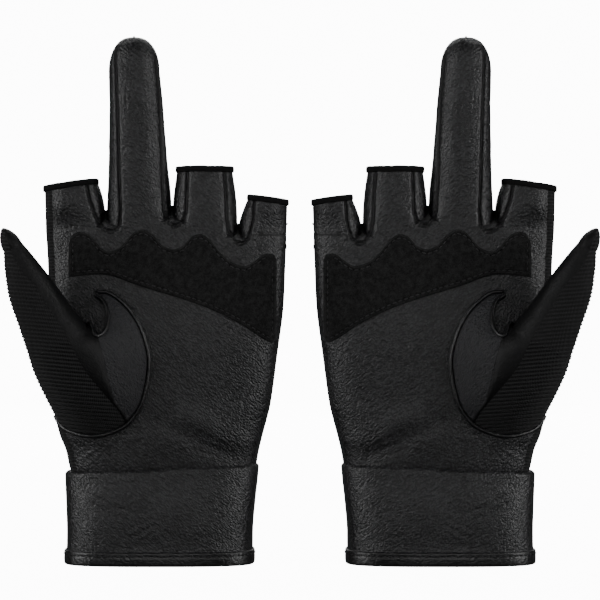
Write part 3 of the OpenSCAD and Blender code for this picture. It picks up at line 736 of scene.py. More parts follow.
# ---------------------------------------------------------------- settings
class GloveSizes(bpy.types.PropertyGroup):
    """Sizes that a maker of these gloves would change."""

    grain_size: FloatProperty(name="Grain", description="Width of one pebble of the leather's grain",
                              default=0.0008, min=0.0003, max=0.003, subtype="DISTANCE", unit="LENGTH",
                              precision=5)
    thumb_rib: FloatProperty(name="Thumb rib", description="Pitch of the ribs of the knit on the thumb",
                             default=0.0017, min=0.001, max=0.004, subtype="DISTANCE", unit="LENGTH",
                             precision=5)
    back_rib: FloatProperty(name="Back rib",
                            description="Pitch of the ribs of the knit on the back and sides",
                            default=0.0015, min=0.001, max=0.004, subtype="DISTANCE", unit="LENGTH",
                            precision=5)
    rib_height: FloatProperty(name="Rib height",
                              description="Height of a rib of the thumb's knit from its valley",
                              default=0.0005, min=0.0, max=0.001, subtype="DISTANCE", unit="LENGTH",
                              precision=5)
    stitch_length: FloatProperty(name="Stitch", description="Length of thread that shows in one stitch",
                                 default=0.0018, min=0.0008, max=0.004, subtype="DISTANCE", unit="LENGTH",
                                 precision=5)
    stitch_pitch: FloatProperty(name="Stitch pitch",
                                description="Distance from the start of a stitch to the next",
                                default=0.0027, min=0.001, max=0.006, subtype="DISTANCE", unit="LENGTH",
                                precision=5)
    thread_radius: FloatProperty(name="Thread", description="Radius of the sewing thread",
                                 default=0.00026, min=0.0001, max=0.0006, subtype="DISTANCE", unit="LENGTH",
                                 precision=5)
    patch_height: FloatProperty(name="Suede", description="Height of the suede patch above the palm leather",
                                default=0.0009, min=0.0003, max=0.002, subtype="DISTANCE", unit="LENGTH",
                                precision=5)
    welt_radius: FloatProperty(name="Piping", description="Radius of the piping round the thumb gusset",
                               default=0.0009, min=0.0004, max=0.0015, subtype="DISTANCE", unit="LENGTH",
                               precision=5)
    camera_way: FloatProperty(name="Camera distance",
                              description="Distance from the camera to the middle of the gloves",
                              default=1.18, min=0.5, max=4, subtype="DISTANCE", unit="LENGTH")
    view_width: FloatProperty(name="View width",
                              description="Width that the camera sees at the middle of the gloves",
                              default=0.27, min=0.2, max=1, subtype="DISTANCE", unit="LENGTH")


class GloveColours(bpy.types.PropertyGroup):
    """Colours as sRGB hex values."""

    leather: StringProperty(name="Leather", description="Leather on the rubbed tops of its grain",
                            default="303032")
    # the deep leather colour is also the painted shade at the bottoms of the palm's finger pockets
    leather_deep: StringProperty(name="Leather, deep", description="Leather in its folds and seams",
                                 default="080809")
    suede: StringProperty(name="Suede", description="Suede where the nap catches light", default="2A2A2A")
    suede_deep: StringProperty(name="Suede, deep", description="Suede where the nap leans away",
                               default="0C0C0C")
    # the two knit colours are a painted highlight on the rib tops and painted shade between the ribs
    knit: StringProperty(name="Knit", description="Tops of the knitted ribs", default="262627")
    knit_deep: StringProperty(name="Knit, deep", description="Between the knitted ribs", default="040404")
    tape: StringProperty(name="Binding", description="Edge binding", default="151515")
    tape_deep: StringProperty(name="Binding, deep", description="Between the threads of the binding",
                              default="060606")
    thread: StringProperty(name="Thread", description="Sewing thread", default="242425")
    floor: StringProperty(name="Floor", description="Studio floor", default="FFFFFF")


def kit(context):
    """The sizes and colours of the scene."""
    return context.scene.glove_sizes, context.scene.glove_colours


class GloveOperator:
    """What the glove operators share."""

    bl_options = {"REGISTER", "UNDO"}


# ---------------------------------------------------------------- hand
# Heights between which the palm and the back are sewn.
HAND_FOOT_Z, HAND_TOP_Z = 37, 146
PALM_ROWS = 150  # rows of the palm's grid below the webs


def hand_tuck(z):
    """How far the hand is drawn in under the fingers, from their foot up."""
    return TUCK * ease((z - FINGER_OUT_Z) / 4)


def finger_tuck(z):
    """How far the fingers are drawn in under the palm, below their foot."""
    return TUCK * (1 - ease((z - FINGER_OUT_Z + 4) / 4))


def hand_grid(start, end, rows, cols, back):
    """Grid of the hand between two turning angles, or of the rest of the way round for the back. Below the
    webs it is the hand's own sections; from there its depth falls to nothing as 1 - t to the power 1.5, a
    pocket filleted into the fingers beside it. start and end may change with the height."""
    web_rows = rows // 6
    up = np.concatenate([np.linspace(0, 1, rows), np.ones(web_rows)])[:, None]
    over = np.concatenate([np.zeros(rows), np.linspace(0, 1, web_rows + 1)[1:]])[:, None]
    nominal = high(HAND_FOOT_Z + (HAND_TOP_Z - HAND_FOOT_Z) * up[:, 0])
    turns = even_turns(HAND, 110, 0, 360, 2000)
    fraction = np.linspace(0, 1, 2000)
    f0 = np.interp(start(nominal), turns, fraction)
    f1 = np.interp(end(nominal) % 360, turns, fraction)
    if back:
        f0, f1 = np.interp(end(nominal), turns, fraction) - 1, f0
    wanted = f0[:, None] + (f1 - f0)[:, None] * np.linspace(0, 1, cols)
    turn = np.interp(wanted % 1.0, fraction, turns)
    x, _ = around(HAND, nominal[:, None] + 0 * turn, turn)
    webs = glide(WEBS, x)
    z = HAND_FOOT_Z + (webs[..., 0] - HAND_FOOT_Z) * up + (webs[..., 1] - webs[..., 0]) * over
    x, y = around(HAND, z, turn, hand_tuck(z))
    behind = y > 0
    pocket = np.abs(y) * (1 - over) ** 1.5
    own = np.where(behind, finger_depth(x, z, True), finger_depth(x, z, False))
    fingers = flush(own, x, z, behind) - hand_tuck(z)
    reach = 1.8 * ease(over / 0.3) + 1e-6
    rise = pocket - fingers
    fillet = np.where(rise < reach, np.maximum(rise, 0) ** 2 / (2 * reach), rise - reach / 2)
    inset = 0.3 * ease((z - HAND_TOP_Z) / 3) * ease(0.5 - rise / 0.6)
    depth = np.where(over > 0, np.maximum(fingers + fillet - inset, 0) * (over < 1), pocket)
    y = np.where(behind, depth, -depth)
    return np.stack([x, y, z], -1)


def facing_share(p):
    """How squarely a grid faces the palm side: its normal's share along -Y, eased."""
    return ease(-normals_of(p)[..., 1] * 1.6)


def palm_facing(x, z):
    """How squarely the palm faces the palm side at a place seen from the front: 1 over the root of 1 +
    slope squared, eased."""
    slope = (side_depth(HAND, x + 0.2, z) - side_depth(HAND, x - 0.2, z)) / 0.4
    return ease(1.6 / np.sqrt(1 + slope**2))


def palm_y(x, z, out=0.0):
    """Y of the palm leather at a place seen from the front, with its relief, less a distance outwards."""
    return -(side_depth(HAND, x, z) + palm_relief(x, z) * palm_facing(x, z) + out)


def leather_start(z):
    """Turning angle of the leather's edge by the thumb."""
    return 207 + 0 * z


def leather_end(z):
    """Turning angle of the leather's edge by the little finger: it leaves a sliver of knit beside the heel
    of the hand."""
    return 353 - 9 * ease((z - 64) / 3) * (1 - ease((z - 92) / 14))


class GLOVES_OT_palm(GloveOperator, bpy.types.Operator):
    """Sew the palm: one piece of leather from inside the cuff to the webs between the fingers"""

    bl_idname = "gloves.palm"
    bl_label = "Palm"

    def execute(self, context):
        sizes, colours = kit(context)
        leather = dressed_leather("satin_goat_leather", sizes, colours)
        for side, mirror in SIDES:
            p = hand_grid(leather_start, leather_end, PALM_ROWS, 190, False)
            x, z = p[..., 0].copy(), p[..., 2].copy()
            facing = facing_share(p)
            facing[:PALM_ROWS] = (palm_facing(x, z) * (p[..., 1] < 0))[:PALM_ROWS]
            p[..., 1] -= palm_relief(x, z) * facing
            # dark on the seams, and painted shade at the bottoms of the pockets between the fingers, carried
            # in the sewn attribute
            painted_pocket_shade = ease((np.arange(len(p)) - PALM_ROWS - 3) / 8)[:, None]
            sewn = np.where(facing > 0.05, sewn_share(web_seam_distance(x, z)), 0)
            piece = shell(f"{side}_palm_leather", p, way_uv(p), leather, mirror,
                          attributes=[("sewn", np.maximum(sewn, painted_pocket_shade))])
            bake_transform(piece)
            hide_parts(f"{side}_palm_panel", f"{side}_crotch_webs")
        return {"FINISHED"}


class GLOVES_OT_back(GloveOperator, bpy.types.Operator):
    """Sew the back: one piece of rib knit from inside the cuff to the webs, round to the palm leather"""

    bl_idname = "gloves.back"
    bl_label = "Knit back"

    def execute(self, context):
        sizes, colours = kit(context)
        knit = back_knit(sizes, colours)
        for side, mirror in SIDES:
            p = hand_grid(leather_start, leather_end, 130, 170, True)
            p += normals_of(p) * (0.25 * swell(p[..., 0], p[..., 2], 22, 31))[..., None]
            piece = shell(f"{side}_knit_back", p, way_uv(p), knit, mirror)
            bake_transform(piece)
            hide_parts(f"{side}_back_panel")
        return {"FINISHED"}


class GLOVES_OT_patch(GloveOperator, bpy.types.Operator):
    """Lay the suede patch on the palm and stitch it down inside its edge"""

    bl_idname = "gloves.patch"
    bl_label = "Suede patch"

    def execute(self, context):
        sizes, colours = kit(context)
        suede = brushed_suede("brushed_suede", colours)
        thread = bonded_thread("bonded_nylon_thread", colours)
        height = sizes.patch_height / MM
        edge = 1.9  # from the patch's edge to its stitches
        across = np.linspace(PATCH_TOP[0, 0], PATCH_TOP[-1, 0], 190)
        z1, z0 = glide(PATCH_TOP, across)[:, 0], glide(PATCH_BOTTOM, across)[:, 0]
        up = np.concatenate([[0], 0.5 - 0.5 * np.cos(np.linspace(0.12, math.pi - 0.12, 56)), [1]])
        x = across[None] + 0 * up[:, None]
        z = z0[None] + (z1 - z0)[None] * up[:, None]
        inward = np.minimum(np.minimum(z - z0[None], z1[None] - z),
                            np.minimum(x - across[0], across[-1] - x))
        # the edge is pared thin, and the stitching draws the suede down beside it
        out = height * (0.45 + 0.55 * ease(inward / 0.9)) - 0.3 * np.exp(-((inward - edge) / 0.5) ** 2)
        y = palm_y(x, z, out)
        p = np.stack([x, y, z], -1)
        bottom = curve_through(np.column_stack([across[6:-6], z0[6:-6] + edge]), 300)
        upper = curve_through(np.column_stack([across[6:-6], z1[6:-6] - edge]), 420)
        left_x, right_x = across[0] + edge, across[-1] - edge
        loop = [bottom, upper,
                np.column_stack([np.full(20, left_x), np.linspace(bottom[0, 1], upper[0, 1], 20)]),
                np.column_stack([np.full(30, right_x), np.linspace(bottom[-1, 1], upper[-1, 1], 30)])]
        rows = [np.column_stack([q[:, 0], palm_y(q[:, 0], q[:, 1], height - 0.12), q[:, 1]]) for q in loop]
        for side, mirror in SIDES:
            piece = shell(f"{side}_suede_patch_sewn", p, way_uv(p), suede, mirror, thick=height * 0.9)
            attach(piece, f"{side}_hand")
            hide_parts(f"{side}_suede_patch")
            sewn = stitches(f"{side}_patch_stitches", rows, sizes, thread, mirror)
            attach(sewn, f"{side}_hand")
        return {"FINISHED"}


# ---------------------------------------------------------------- cuff
def cuff_top(x):
    """Height of the cuff's top edge, which rises towards the little finger."""
    return CUFF_H - 3.2 * (1 - ease((x + 112) / 100))


def cuff_wrinkles(x, z):
    """Relief of the cuff: slow swells and a few slanting wrinkles near its middle."""
    h = 0.32 * swell(x, z, 17, 41) + 0.12 * swell(x, z, 6, 42)
    for line, seed in ((np.array([[-98, 33], [-80, 26], [-62, 28]]), 43),
                       (np.array([[-92, 20], [-76, 16], [-58, 18]]), 44)):
        h = h + 0.16 * creases(x, z, line, 3.4, 9, seed)
    return h


class GLOVES_OT_cuff(GloveOperator, bpy.types.Operator):
    """Sew the cuff: a leather band whose top edge is turned in over the palm, with a folded and stitched
    hem"""

    bl_idname = "gloves.cuff"
    bl_label = "Cuff and hem"

    def execute(self, context):
        sizes, colours = kit(context)
        leather = dressed_leather("satin_goat_leather_cuff", sizes, colours, gloss=0.38)
        plain = smooth_leather(sizes, colours)
        thread = bonded_thread("bonded_nylon_thread", colours)
        turns = even_turns(CUFF, 20, 180, 540, 241)[:-1]
        share = np.linspace(0, 1, 60)
        turn = turns[None] + 0 * share[:, None]
        edge_x, _ = around(CUFF, np.full_like(turns, 44.0), turns)
        z = (HEM_H - 1.0) + (cuff_top(edge_x)[None] - HEM_H + 1.0) * share[:, None]
        # the last rows roll over the turned edge
        roll = ease((share - 0.965) / 0.035)[:, None]
        x, y = around(CUFF, z, turn, 0.9 * roll**2)
        p = np.stack([x, y, z], -1)
        n = normals_of(p, True)
        n[..., 2] = 0
        relief = cuff_wrinkles(x, z) * ease((z - HEM_H) / 3) * (1 - roll) * np.abs(n[..., 1])
        p = p + n * relief[..., None]
        # hem: a rolled fold round the lower edge
        profile = np.array([[-1.6, 0.5], [-0.9, 0], [0.3, 0], [0.85, 0.55], [1.0, 1.6], [1.02, 3.4],
                            [0.86, 4.5], [0.96, 5.2], [0.86, HEM_H - 0.1], [0.4, HEM_H + 0.45],
                            [-0.5, HEM_H + 0.3], [-1.6, HEM_H]])
        loop = np.concatenate([profile, profile[:1]])
        fine = curve_through(loop, 41)[:-1]
        hx, hy = around(CUFF, np.zeros(turns.shape), turns)
        out = level_normals(hx, hy)
        wobble = 0.12 * swell(hx * 1.0, hy, 8, 45)
        hem = np.stack([hx[None] + out[None, :, 0] * (fine[:, 0:1] + wobble),
                        hy[None] + out[None, :, 1] * (fine[:, 0:1] + wobble),
                        fine[:, 1:2] + 0 * hx[None]], -1)
        ring = ring_quads(len(fine), len(turns))
        stitch_z = HEM_H - 1.35
        line = np.stack([hx + out[:, 0] * 0.98, hy + out[:, 1] * 0.98, 0 * hx + stitch_z], -1)
        line = np.concatenate([line, line[:1]])
        for side, mirror in SIDES:
            band = shell(f"{side}_cuff_leather", p, way_uv(p), leather, mirror, thick=1.3, wrap=True)
            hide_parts(f"{side}_cuff_front", f"{side}_cuff_back")
            fold = put_mesh(f"{side}_hem_fold", hem.reshape(-1, 3), ring, way_uv(hem).reshape(-1, 2), plain,
                            mirror, sharp=70)
            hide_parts(f"{side}_cuff_hem")
            sewn = stitches(f"{side}_hem_stitches", [line], sizes, thread, mirror)
            for piece, slot in ((band, "grained_leather"), (fold, "smooth_leather"),
                                (sewn, "smooth_leather")):
                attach(piece, f"{side}_cuff")
        return {"FINISHED"}


# ---------------------------------------------------------------- fingers
def finger_turns(rows, start, end, cols):
    """Even turning angles round a finger, taken at its foot."""
    return even_turns(rows, rows[1, 0], start, end, cols)


def finger_grid(rows, turns, heights, slope=0.0):
    """Grid of a finger between turning angles and heights. Its foot lies tucked inside the palm, and its
    top edge may slope with X."""
    z = heights[:, None] + 0 * turns[None]
    x, y = around(rows, z, turns[None] + 0 * z, finger_tuck(z))
    y = np.sign(y) * (flush(np.abs(y) + finger_tuck(z), x, z, y > 0) - finger_tuck(z))
    middle = (rows[-1, 1] + rows[-1, 2]) / 2
    share = ease((z - FINGER_OUT_Z - 4) / (heights[-1] - FINGER_OUT_Z - 4))
    return np.stack([x, y, z + slope * share * (x - middle)], -1)


def dress_finger(p, seed, rows_top, wrinkle=0.0):
    """Moves a finger's grid out by its relief: slow swells, and the seams beside the webs where it faces
    the palm side. Returns the grid and each point's distance from a seam."""
    n = normals_of(p)
    x, z = p[..., 0], p[..., 2]
    facing = ease(-n[..., 1] * 1.6)
    away = np.where(facing > 0.02, web_seam_distance(x, z), 9)
    h = 0.12 * swell(x + 3 * p[..., 1], z, 15, seed) + 0.10 * swell(x + 3 * p[..., 1], z, 6, seed + 1)
    h = h + wrinkle * creases(x, z, np.array([[x.min() - 4, 153], [x.max() + 4, 154]]), 2.7, 8, seed) * facing
    # at the foot it is the palm's own relief, and under the binding it lies flat
    own = ease((z - FINGER_OUT_Z) / 15)
    foot = (palm_relief(x, z) - seam_relief(away)) * facing
    flat = 1 - ease((z - rows_top + 5) / 3)
    h = (h * own + foot * (1 - own) * ease((z - 143) / 3)) * flat + seam_relief(away) * facing
    return p + n * h[..., None], away


def middle_tip_grid(start, end, cols, from_z):
    """Grid of the middle finger's last length: its own sections up to the pad, then a dome that closes to
    a short seam line. Above the pad, the width and depth shrink as powers of the cosine of the lean."""
    pad = 221.0
    body = np.linspace(from_z, pad, 34)
    lean = np.radians(np.linspace(0, 90, 24))[1:]
    turns = finger_turns(MIDDLE, start, end, cols)
    z = np.concatenate([body, pad + (MIDDLE_TOP - pad) * np.sin(lean)])
    x, y = around(MIDDLE, np.minimum(z, pad)[:, None] + 0 * turns[None], turns[None] + 0 * z[:, None])
    centre_x = glide(MIDDLE, pad)[:2].mean()
    centre_y = -5.2
    shrink = np.ones(len(z))
    shrink[len(body):] = np.cos(lean) ** 0.82
    widen = np.maximum(shrink, 0.001)[:, None]
    flat = (shrink ** 0.95)[:, None]
    lift = ease((z - pad) / (MIDDLE_TOP - pad))[:, None]
    x = centre_x + (x - centre_x) * (widen * 0.93 + 0.07 * np.sqrt(shrink)[:, None])
    y = y * flat + (centre_y + 2.5 * lift) * (1 - flat)
    return np.stack([x, y, z[:, None] + 0 * x], -1)


# name, sections, top, slope, leather from, leather to, height at which the blend ends
OPEN_FINGERS = (
    ("index", INDEX, INDEX_TOP, 0.14, 230, 379, 168.5),
    ("ring", RING, RING_TOP, 0.0, 161, 379, 172.5),
    ("little", LITTLE, LITTLE_TOP, -0.13, 161, 359, 163.0))


class GLOVES_OT_open_fingers(GloveOperator, bpy.types.Operator):
    """Sew the open fingers: leather fronts, knit backs and a folded binding round each open end"""

    bl_idname = "gloves.open_fingers"
    bl_label = "Open fingers"

    def execute(self, context):
        sizes, colours = kit(context)
        leather = dressed_leather("satin_goat_leather", sizes, colours)
        knit = back_knit(sizes, colours)
        tape = woven_tape("folded_cotton_tape", colours)
        for name, rows, end_z, slope, t0, t1, blend_z in OPEN_FINGERS:
            for side, mirror in SIDES:
                for part, a, b, cloth in (("leather", t0, t1, leather), ("knit", t1 - 360, t0, knit)):
                    turns = finger_turns(rows, a, b, 96 if part == "leather" else 70)
                    heights = np.linspace(FINGER_FOOT_Z, end_z - 0.9, 78)
                    p = finger_grid(rows, turns, heights, slope)
                    p, away = dress_finger(p, 50 + len(name), end_z, 0.12)
                    sewn = sewn_share(away) * (part == "leather")
                    piece = shell(f"{side}_{name}_{part}", p, way_uv(p), cloth, mirror,
                                  attributes=[("sewn", sewn)])
                    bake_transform(piece)
                    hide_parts(f"{side}_{name}_front" if part == "leather" else f"{side}_{name}_back")
                piece = self.binding(f"{side}_{name}_edge_tape", rows, end_z, slope, tape, mirror)
                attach(piece, f"{side}_{name}")
                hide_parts(f"{side}_{name}_binding")
        return {"FINISHED"}

    def binding(self, name, rows, end_z, slope, tape, mirror):
        """Tape folded over an open end: a U-shaped profile, out and in of the cloth's edge, carried round
        the section."""
        turns = finger_turns(rows, 0, 360, 121)[:-1]
        h = 2.8
        profile = np.array([[0.1, -h], [0.62, -h + 0.1], [0.78, -h * 0.55], [0.72, -0.5], [0.3, -0.02],
                            [-0.55, 0.05], [-1.3, -0.15], [-1.7, -0.6], [-1.75, -h * 0.6], [-1.6, -h + 0.1],
                            [-1.2, -h], [-0.5, -h + 0.3], [0.1, -h]])
        fine = curve_through(profile, 31)[:-1]
        middle = (rows[-1, 1] + rows[-1, 2]) / 2
        x, y = around(rows, np.full_like(turns, end_z - h / 2), turns)
        out = level_normals(x, y)
        # uneven pull of the sewing
        pull = 0.12 * swell(2 * x, 2 * y, 5, 61)
        p = np.stack([x[None] + out[None, :, 0] * (fine[:, :1] + pull),
                      y[None] + out[None, :, 1] * (fine[:, :1] + pull),
                      end_z + fine[:, 1:2] + slope * (x - middle)[None] + 0.8 * pull], -1)
        ring = ring_quads(len(fine), len(turns))
        uv = np.stack(np.broadcast_arrays(np.cumsum(np.hypot(np.gradient(x), np.gradient(y)))[None],
                                          np.cumsum(np.hypot(*np.gradient(fine, axis=0).T))[:, None]), -1)
        return put_mesh(name, p.reshape(-1, 3), ring, uv.reshape(-1, 2), tape, mirror, sharp=80)


class GLOVES_OT_middle_finger(GloveOperator, bpy.types.Operator):
    """Sew the full middle finger: three lengths of leather and knit, cut at its joints, and a domed
    tip"""

    bl_idname = "gloves.middle_finger"
    bl_label = "Middle finger"

    def execute(self, context):
        sizes, colours = kit(context)
        leather = dressed_leather("satin_goat_leather", sizes, colours)
        knit = back_knit(sizes, colours)
        middle_cut, end_cut = MID_JOINT_Z - 12.5, END_JOINT_Z - 12
        lengths = (
            ("base", None, FINGER_FOOT_Z, middle_cut, "hand", "middle", KNUCKLE_Z, 171.5),
            ("mid", None, middle_cut, end_cut, "middle", "middle_mid", middle_cut + 1, end_cut - 1),
            ("tip", "dome", end_cut, MIDDLE_TOP, "middle_mid", "middle_tip", end_cut + 1, 221))
        for part, t0, t1, cloth in (("leather", 161, 379, leather), ("knit", 19, 161, knit)):
            cols = 110 if part == "leather" else 64
            grids = []
            for name, dome, z0, z1, *_ in lengths:
                if dome:
                    grids.append(middle_tip_grid(t0, t1, cols, z0))
                else:
                    grids.append(finger_grid(MIDDLE, finger_turns(MIDDLE, t0, t1, cols),
                                             np.linspace(z0, z1, 60)))
            whole = np.concatenate([grids[0], grids[1][1:], grids[2][1:]])
            whole, away = dress_finger(whole, 71, MIDDLE_TOP + 2, 0.14)
            x, z = whole[..., 0], whole[..., 2]
            facing = ease(-normals_of(whole)[..., 1] * 2)
            # fine upright wrinkles on the pad, from the leather drawn over the tip
            pad = np.exp(-((x + 74.5) / 4.5) ** 2) * ease((z - 196) / 10) * (1 - ease((z - 217) / 6))
            wave = np.cos(2 * np.pi * (x / 1.9 + 0.7 * swell(x, z / 4, 3, 75)))
            whole[..., 1] -= facing * pad * 0.07 * wave
            sewn = sewn_share(away) * (part == "leather")
            first = 0
            for (name, dome, _, _, above, below, start_z, end_z), grid in zip(lengths, grids):
                last = first + len(grid)
                p, sewn_here = whole[first:last], sewn[first:last]
                first = last - 1
                for side, mirror in SIDES:
                    piece = shell(f"{side}_middle_{name}_{part}", p, way_uv(p), cloth, mirror,
                                  thick=THIN_CLOTH if dome else CLOTH, attributes=[("sewn", sewn_here)])
                    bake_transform(piece)
                    end = "front" if part == "leather" else "back"
                    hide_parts(f"{side}_{below}_{end}")
        return {"FINISHED"}


# ---------------------------------------------------------------- thumb
def thumb_point(s, turn, inset=0.0):
    """Point of the thumb's tube: its section at s mm along it, turned so that 0 faces the fingers and 90
    the palm side."""
    u, v = around(THUMB, s, -turn, inset)
    return (THUMB_FOOT + THUMB_IN * u[..., None] - THUMB_FRONT * v[..., None]
            + THUMB_ALONG * np.asarray(s)[..., None])


def hood_point(turn, v):
    """Point of the hood that joins thumb and hand, from the thumb's foot ring (v 0) to its line on the
    hand (v 1): a Hermite cubic that leaves along the thumb, except at the crotch, and comes down steeply
    onto the palm."""
    ring = thumb_point(0 * turn, turn)
    line = glide(HOOD, turn)
    x, z = wide(line[..., 0]), high(line[..., 1])
    hand = np.stack([x, palm_y(x, z, -0.5), z], -1)
    way = hand - ring
    length = np.linalg.norm(way, axis=-1, keepdims=True)
    along = ease((turn - 2) / 26)[..., None]
    leave = way * (1 - along) - (thumb_point(0 * turn + 1, turn) - ring) * length * along
    front = np.sin(np.radians(np.clip(turn + 8, 0, 180)))[..., None]
    land = way * 0.9 + front * length * np.array([0.0, 0.42, 0.0])
    t = v[..., None]
    return ((2 * t**3 - 3 * t**2 + 1) * ring + (t**3 - 2 * t**2 + t) * leave
            + (3 * t**2 - 2 * t**3) * hand + (t**3 - t**2) * land)


def notch_turn(v):
    """Turning angle of the gusset's edge at the crotch of the thumb, which is cut in a V whose point lies
    at NOTCH."""
    v0, turn = NOTCH
    return HOOD_START + (turn - HOOD_START) * ease(np.minimum(v / v0, (1 - v) / (1 - v0))) ** 0.8


def turn_at(grid, turns, line):
    """Turning angle, for each row of a grid, at which the row crosses a line given as X at each height:
    the first change of sign of X less the line's X, found between two points, and evened out over 13
    rows."""
    gap = grid[..., 0] - np.interp(grid[..., 2], line[:, 0], line[:, 1])
    cross = np.argmax((gap[:, :-1] > 0) & (gap[:, 1:] <= 0), axis=1)
    i = np.arange(len(gap))
    a, b = gap[i, cross], gap[i, cross + 1]
    found = turns[cross] + (turns[cross + 1] - turns[cross]) * a / np.where(a == b, 1, a - b)
    return np.convolve(np.pad(found, 6, "edge"), np.ones(13) / 13, "valid")


def rib_relief(p, pitch, height):
    """Ribs that run nearly level, a little down towards the fingers: the size of a cosine of the height to
    the power 0.8, less 0.6."""
    row = p[..., 2] + 0.09 * p[..., 0]
    return height * (np.abs(np.cos(np.pi * row / pitch)) ** 0.8 - 0.6)


def thumb_piece(turns, s, ribs, sizes):
    """Grid of the thumb between seams whose turning angles change along it, closed at the tip: past
    THUMB_ROUND the section shrinks as 1 - t2 to the power 0.72."""
    held = np.minimum(s, THUMB_ROUND)
    lean = np.clip((s - THUMB_ROUND) / (THUMB_TIP - THUMB_ROUND), 0, 1)
    shrink = np.maximum(np.maximum(1 - lean**2, 0) ** 0.72, 0.002)[:, None, None]
    grid_s = held[:, None] + 0 * turns
    p = thumb_point(grid_s, turns, 0.9 * ease(-s[:, None] / 3.5))
    axis = (THUMB_FOOT + THUMB_ALONG * held[:, None])[:, None] + THUMB_IN * -1.5
    p = axis + (p - axis) * shrink + THUMB_ALONG * (s - held)[:, None, None]
    n = normals_of(p)
    h = 0.22 * swell(p[..., 0] + 3 * p[..., 1], p[..., 2], 13, 81) * ease(s[:, None] / 5)
    if ribs:
        fade = 1 - 0.55 * ease((s[:, None] - 34) / 12)
        h = h + rib_relief(p, sizes.thumb_rib / MM, sizes.rib_height / MM) * fade
    return p + n * h[..., None]


class GLOVES_OT_thumb(GloveOperator, bpy.types.Operator):
    """Sew the thumb: a smooth leather strip on the side of the fingers and rib knit round the rest"""

    bl_idname = "gloves.thumb"
    bl_label = "Thumb"

    def execute(self, context):
        sizes, colours = kit(context)
        strip = strip_leather(sizes, colours)
        knit = thumb_knit(sizes, colours)
        cut = 13.5
        lean = np.linspace(0, math.pi / 2, 26)[1:]
        tip = THUMB_ROUND + (THUMB_TIP - THUMB_ROUND) * np.sin(lean)
        parts = (("foot", np.linspace(-4, cut, 58), "hand", "thumb", 0.3, cut - 0.5, "thumb_{}"),
                 ("end", np.concatenate([np.linspace(cut, THUMB_ROUND, 140), tip]), "thumb", "thumb_tip",
                  cut + 0.5, 36, "thumb_tip_{}"))
        for part, s, a, b, s0, s1, node_name in parts:
            fine = np.linspace(40, 150, 221)
            seam = turn_at(thumb_point(np.minimum(s, 44)[:, None] + 0 * fine, fine + 0 * s[:, None]), fine,
                           KNIT_SEAM)
            back = 360 - 72 + 0 * s
            for cloth, name, t0, t1, cols in ((strip, "strip", back - 360, seam, 44),
                                              (knit, "knit", seam, back, 74)):
                share = np.linspace(0, 1, cols)
                turns = t0[:, None] + (t1 - t0)[:, None] * share[None]
                # counted from the back to the front, so that faces point outwards
                p = thumb_piece(turns, s, name == "knit", sizes)[:, ::-1]
                for side, mirror in SIDES:
                    piece = shell(f"{side}_thumb_{part}_{name}", p, way_uv(p), cloth, mirror,
                                  thick=THIN_CLOTH)
                    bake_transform(piece)
                    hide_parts(f"{side}_" + node_name.format(name))
        return {"FINISHED"}


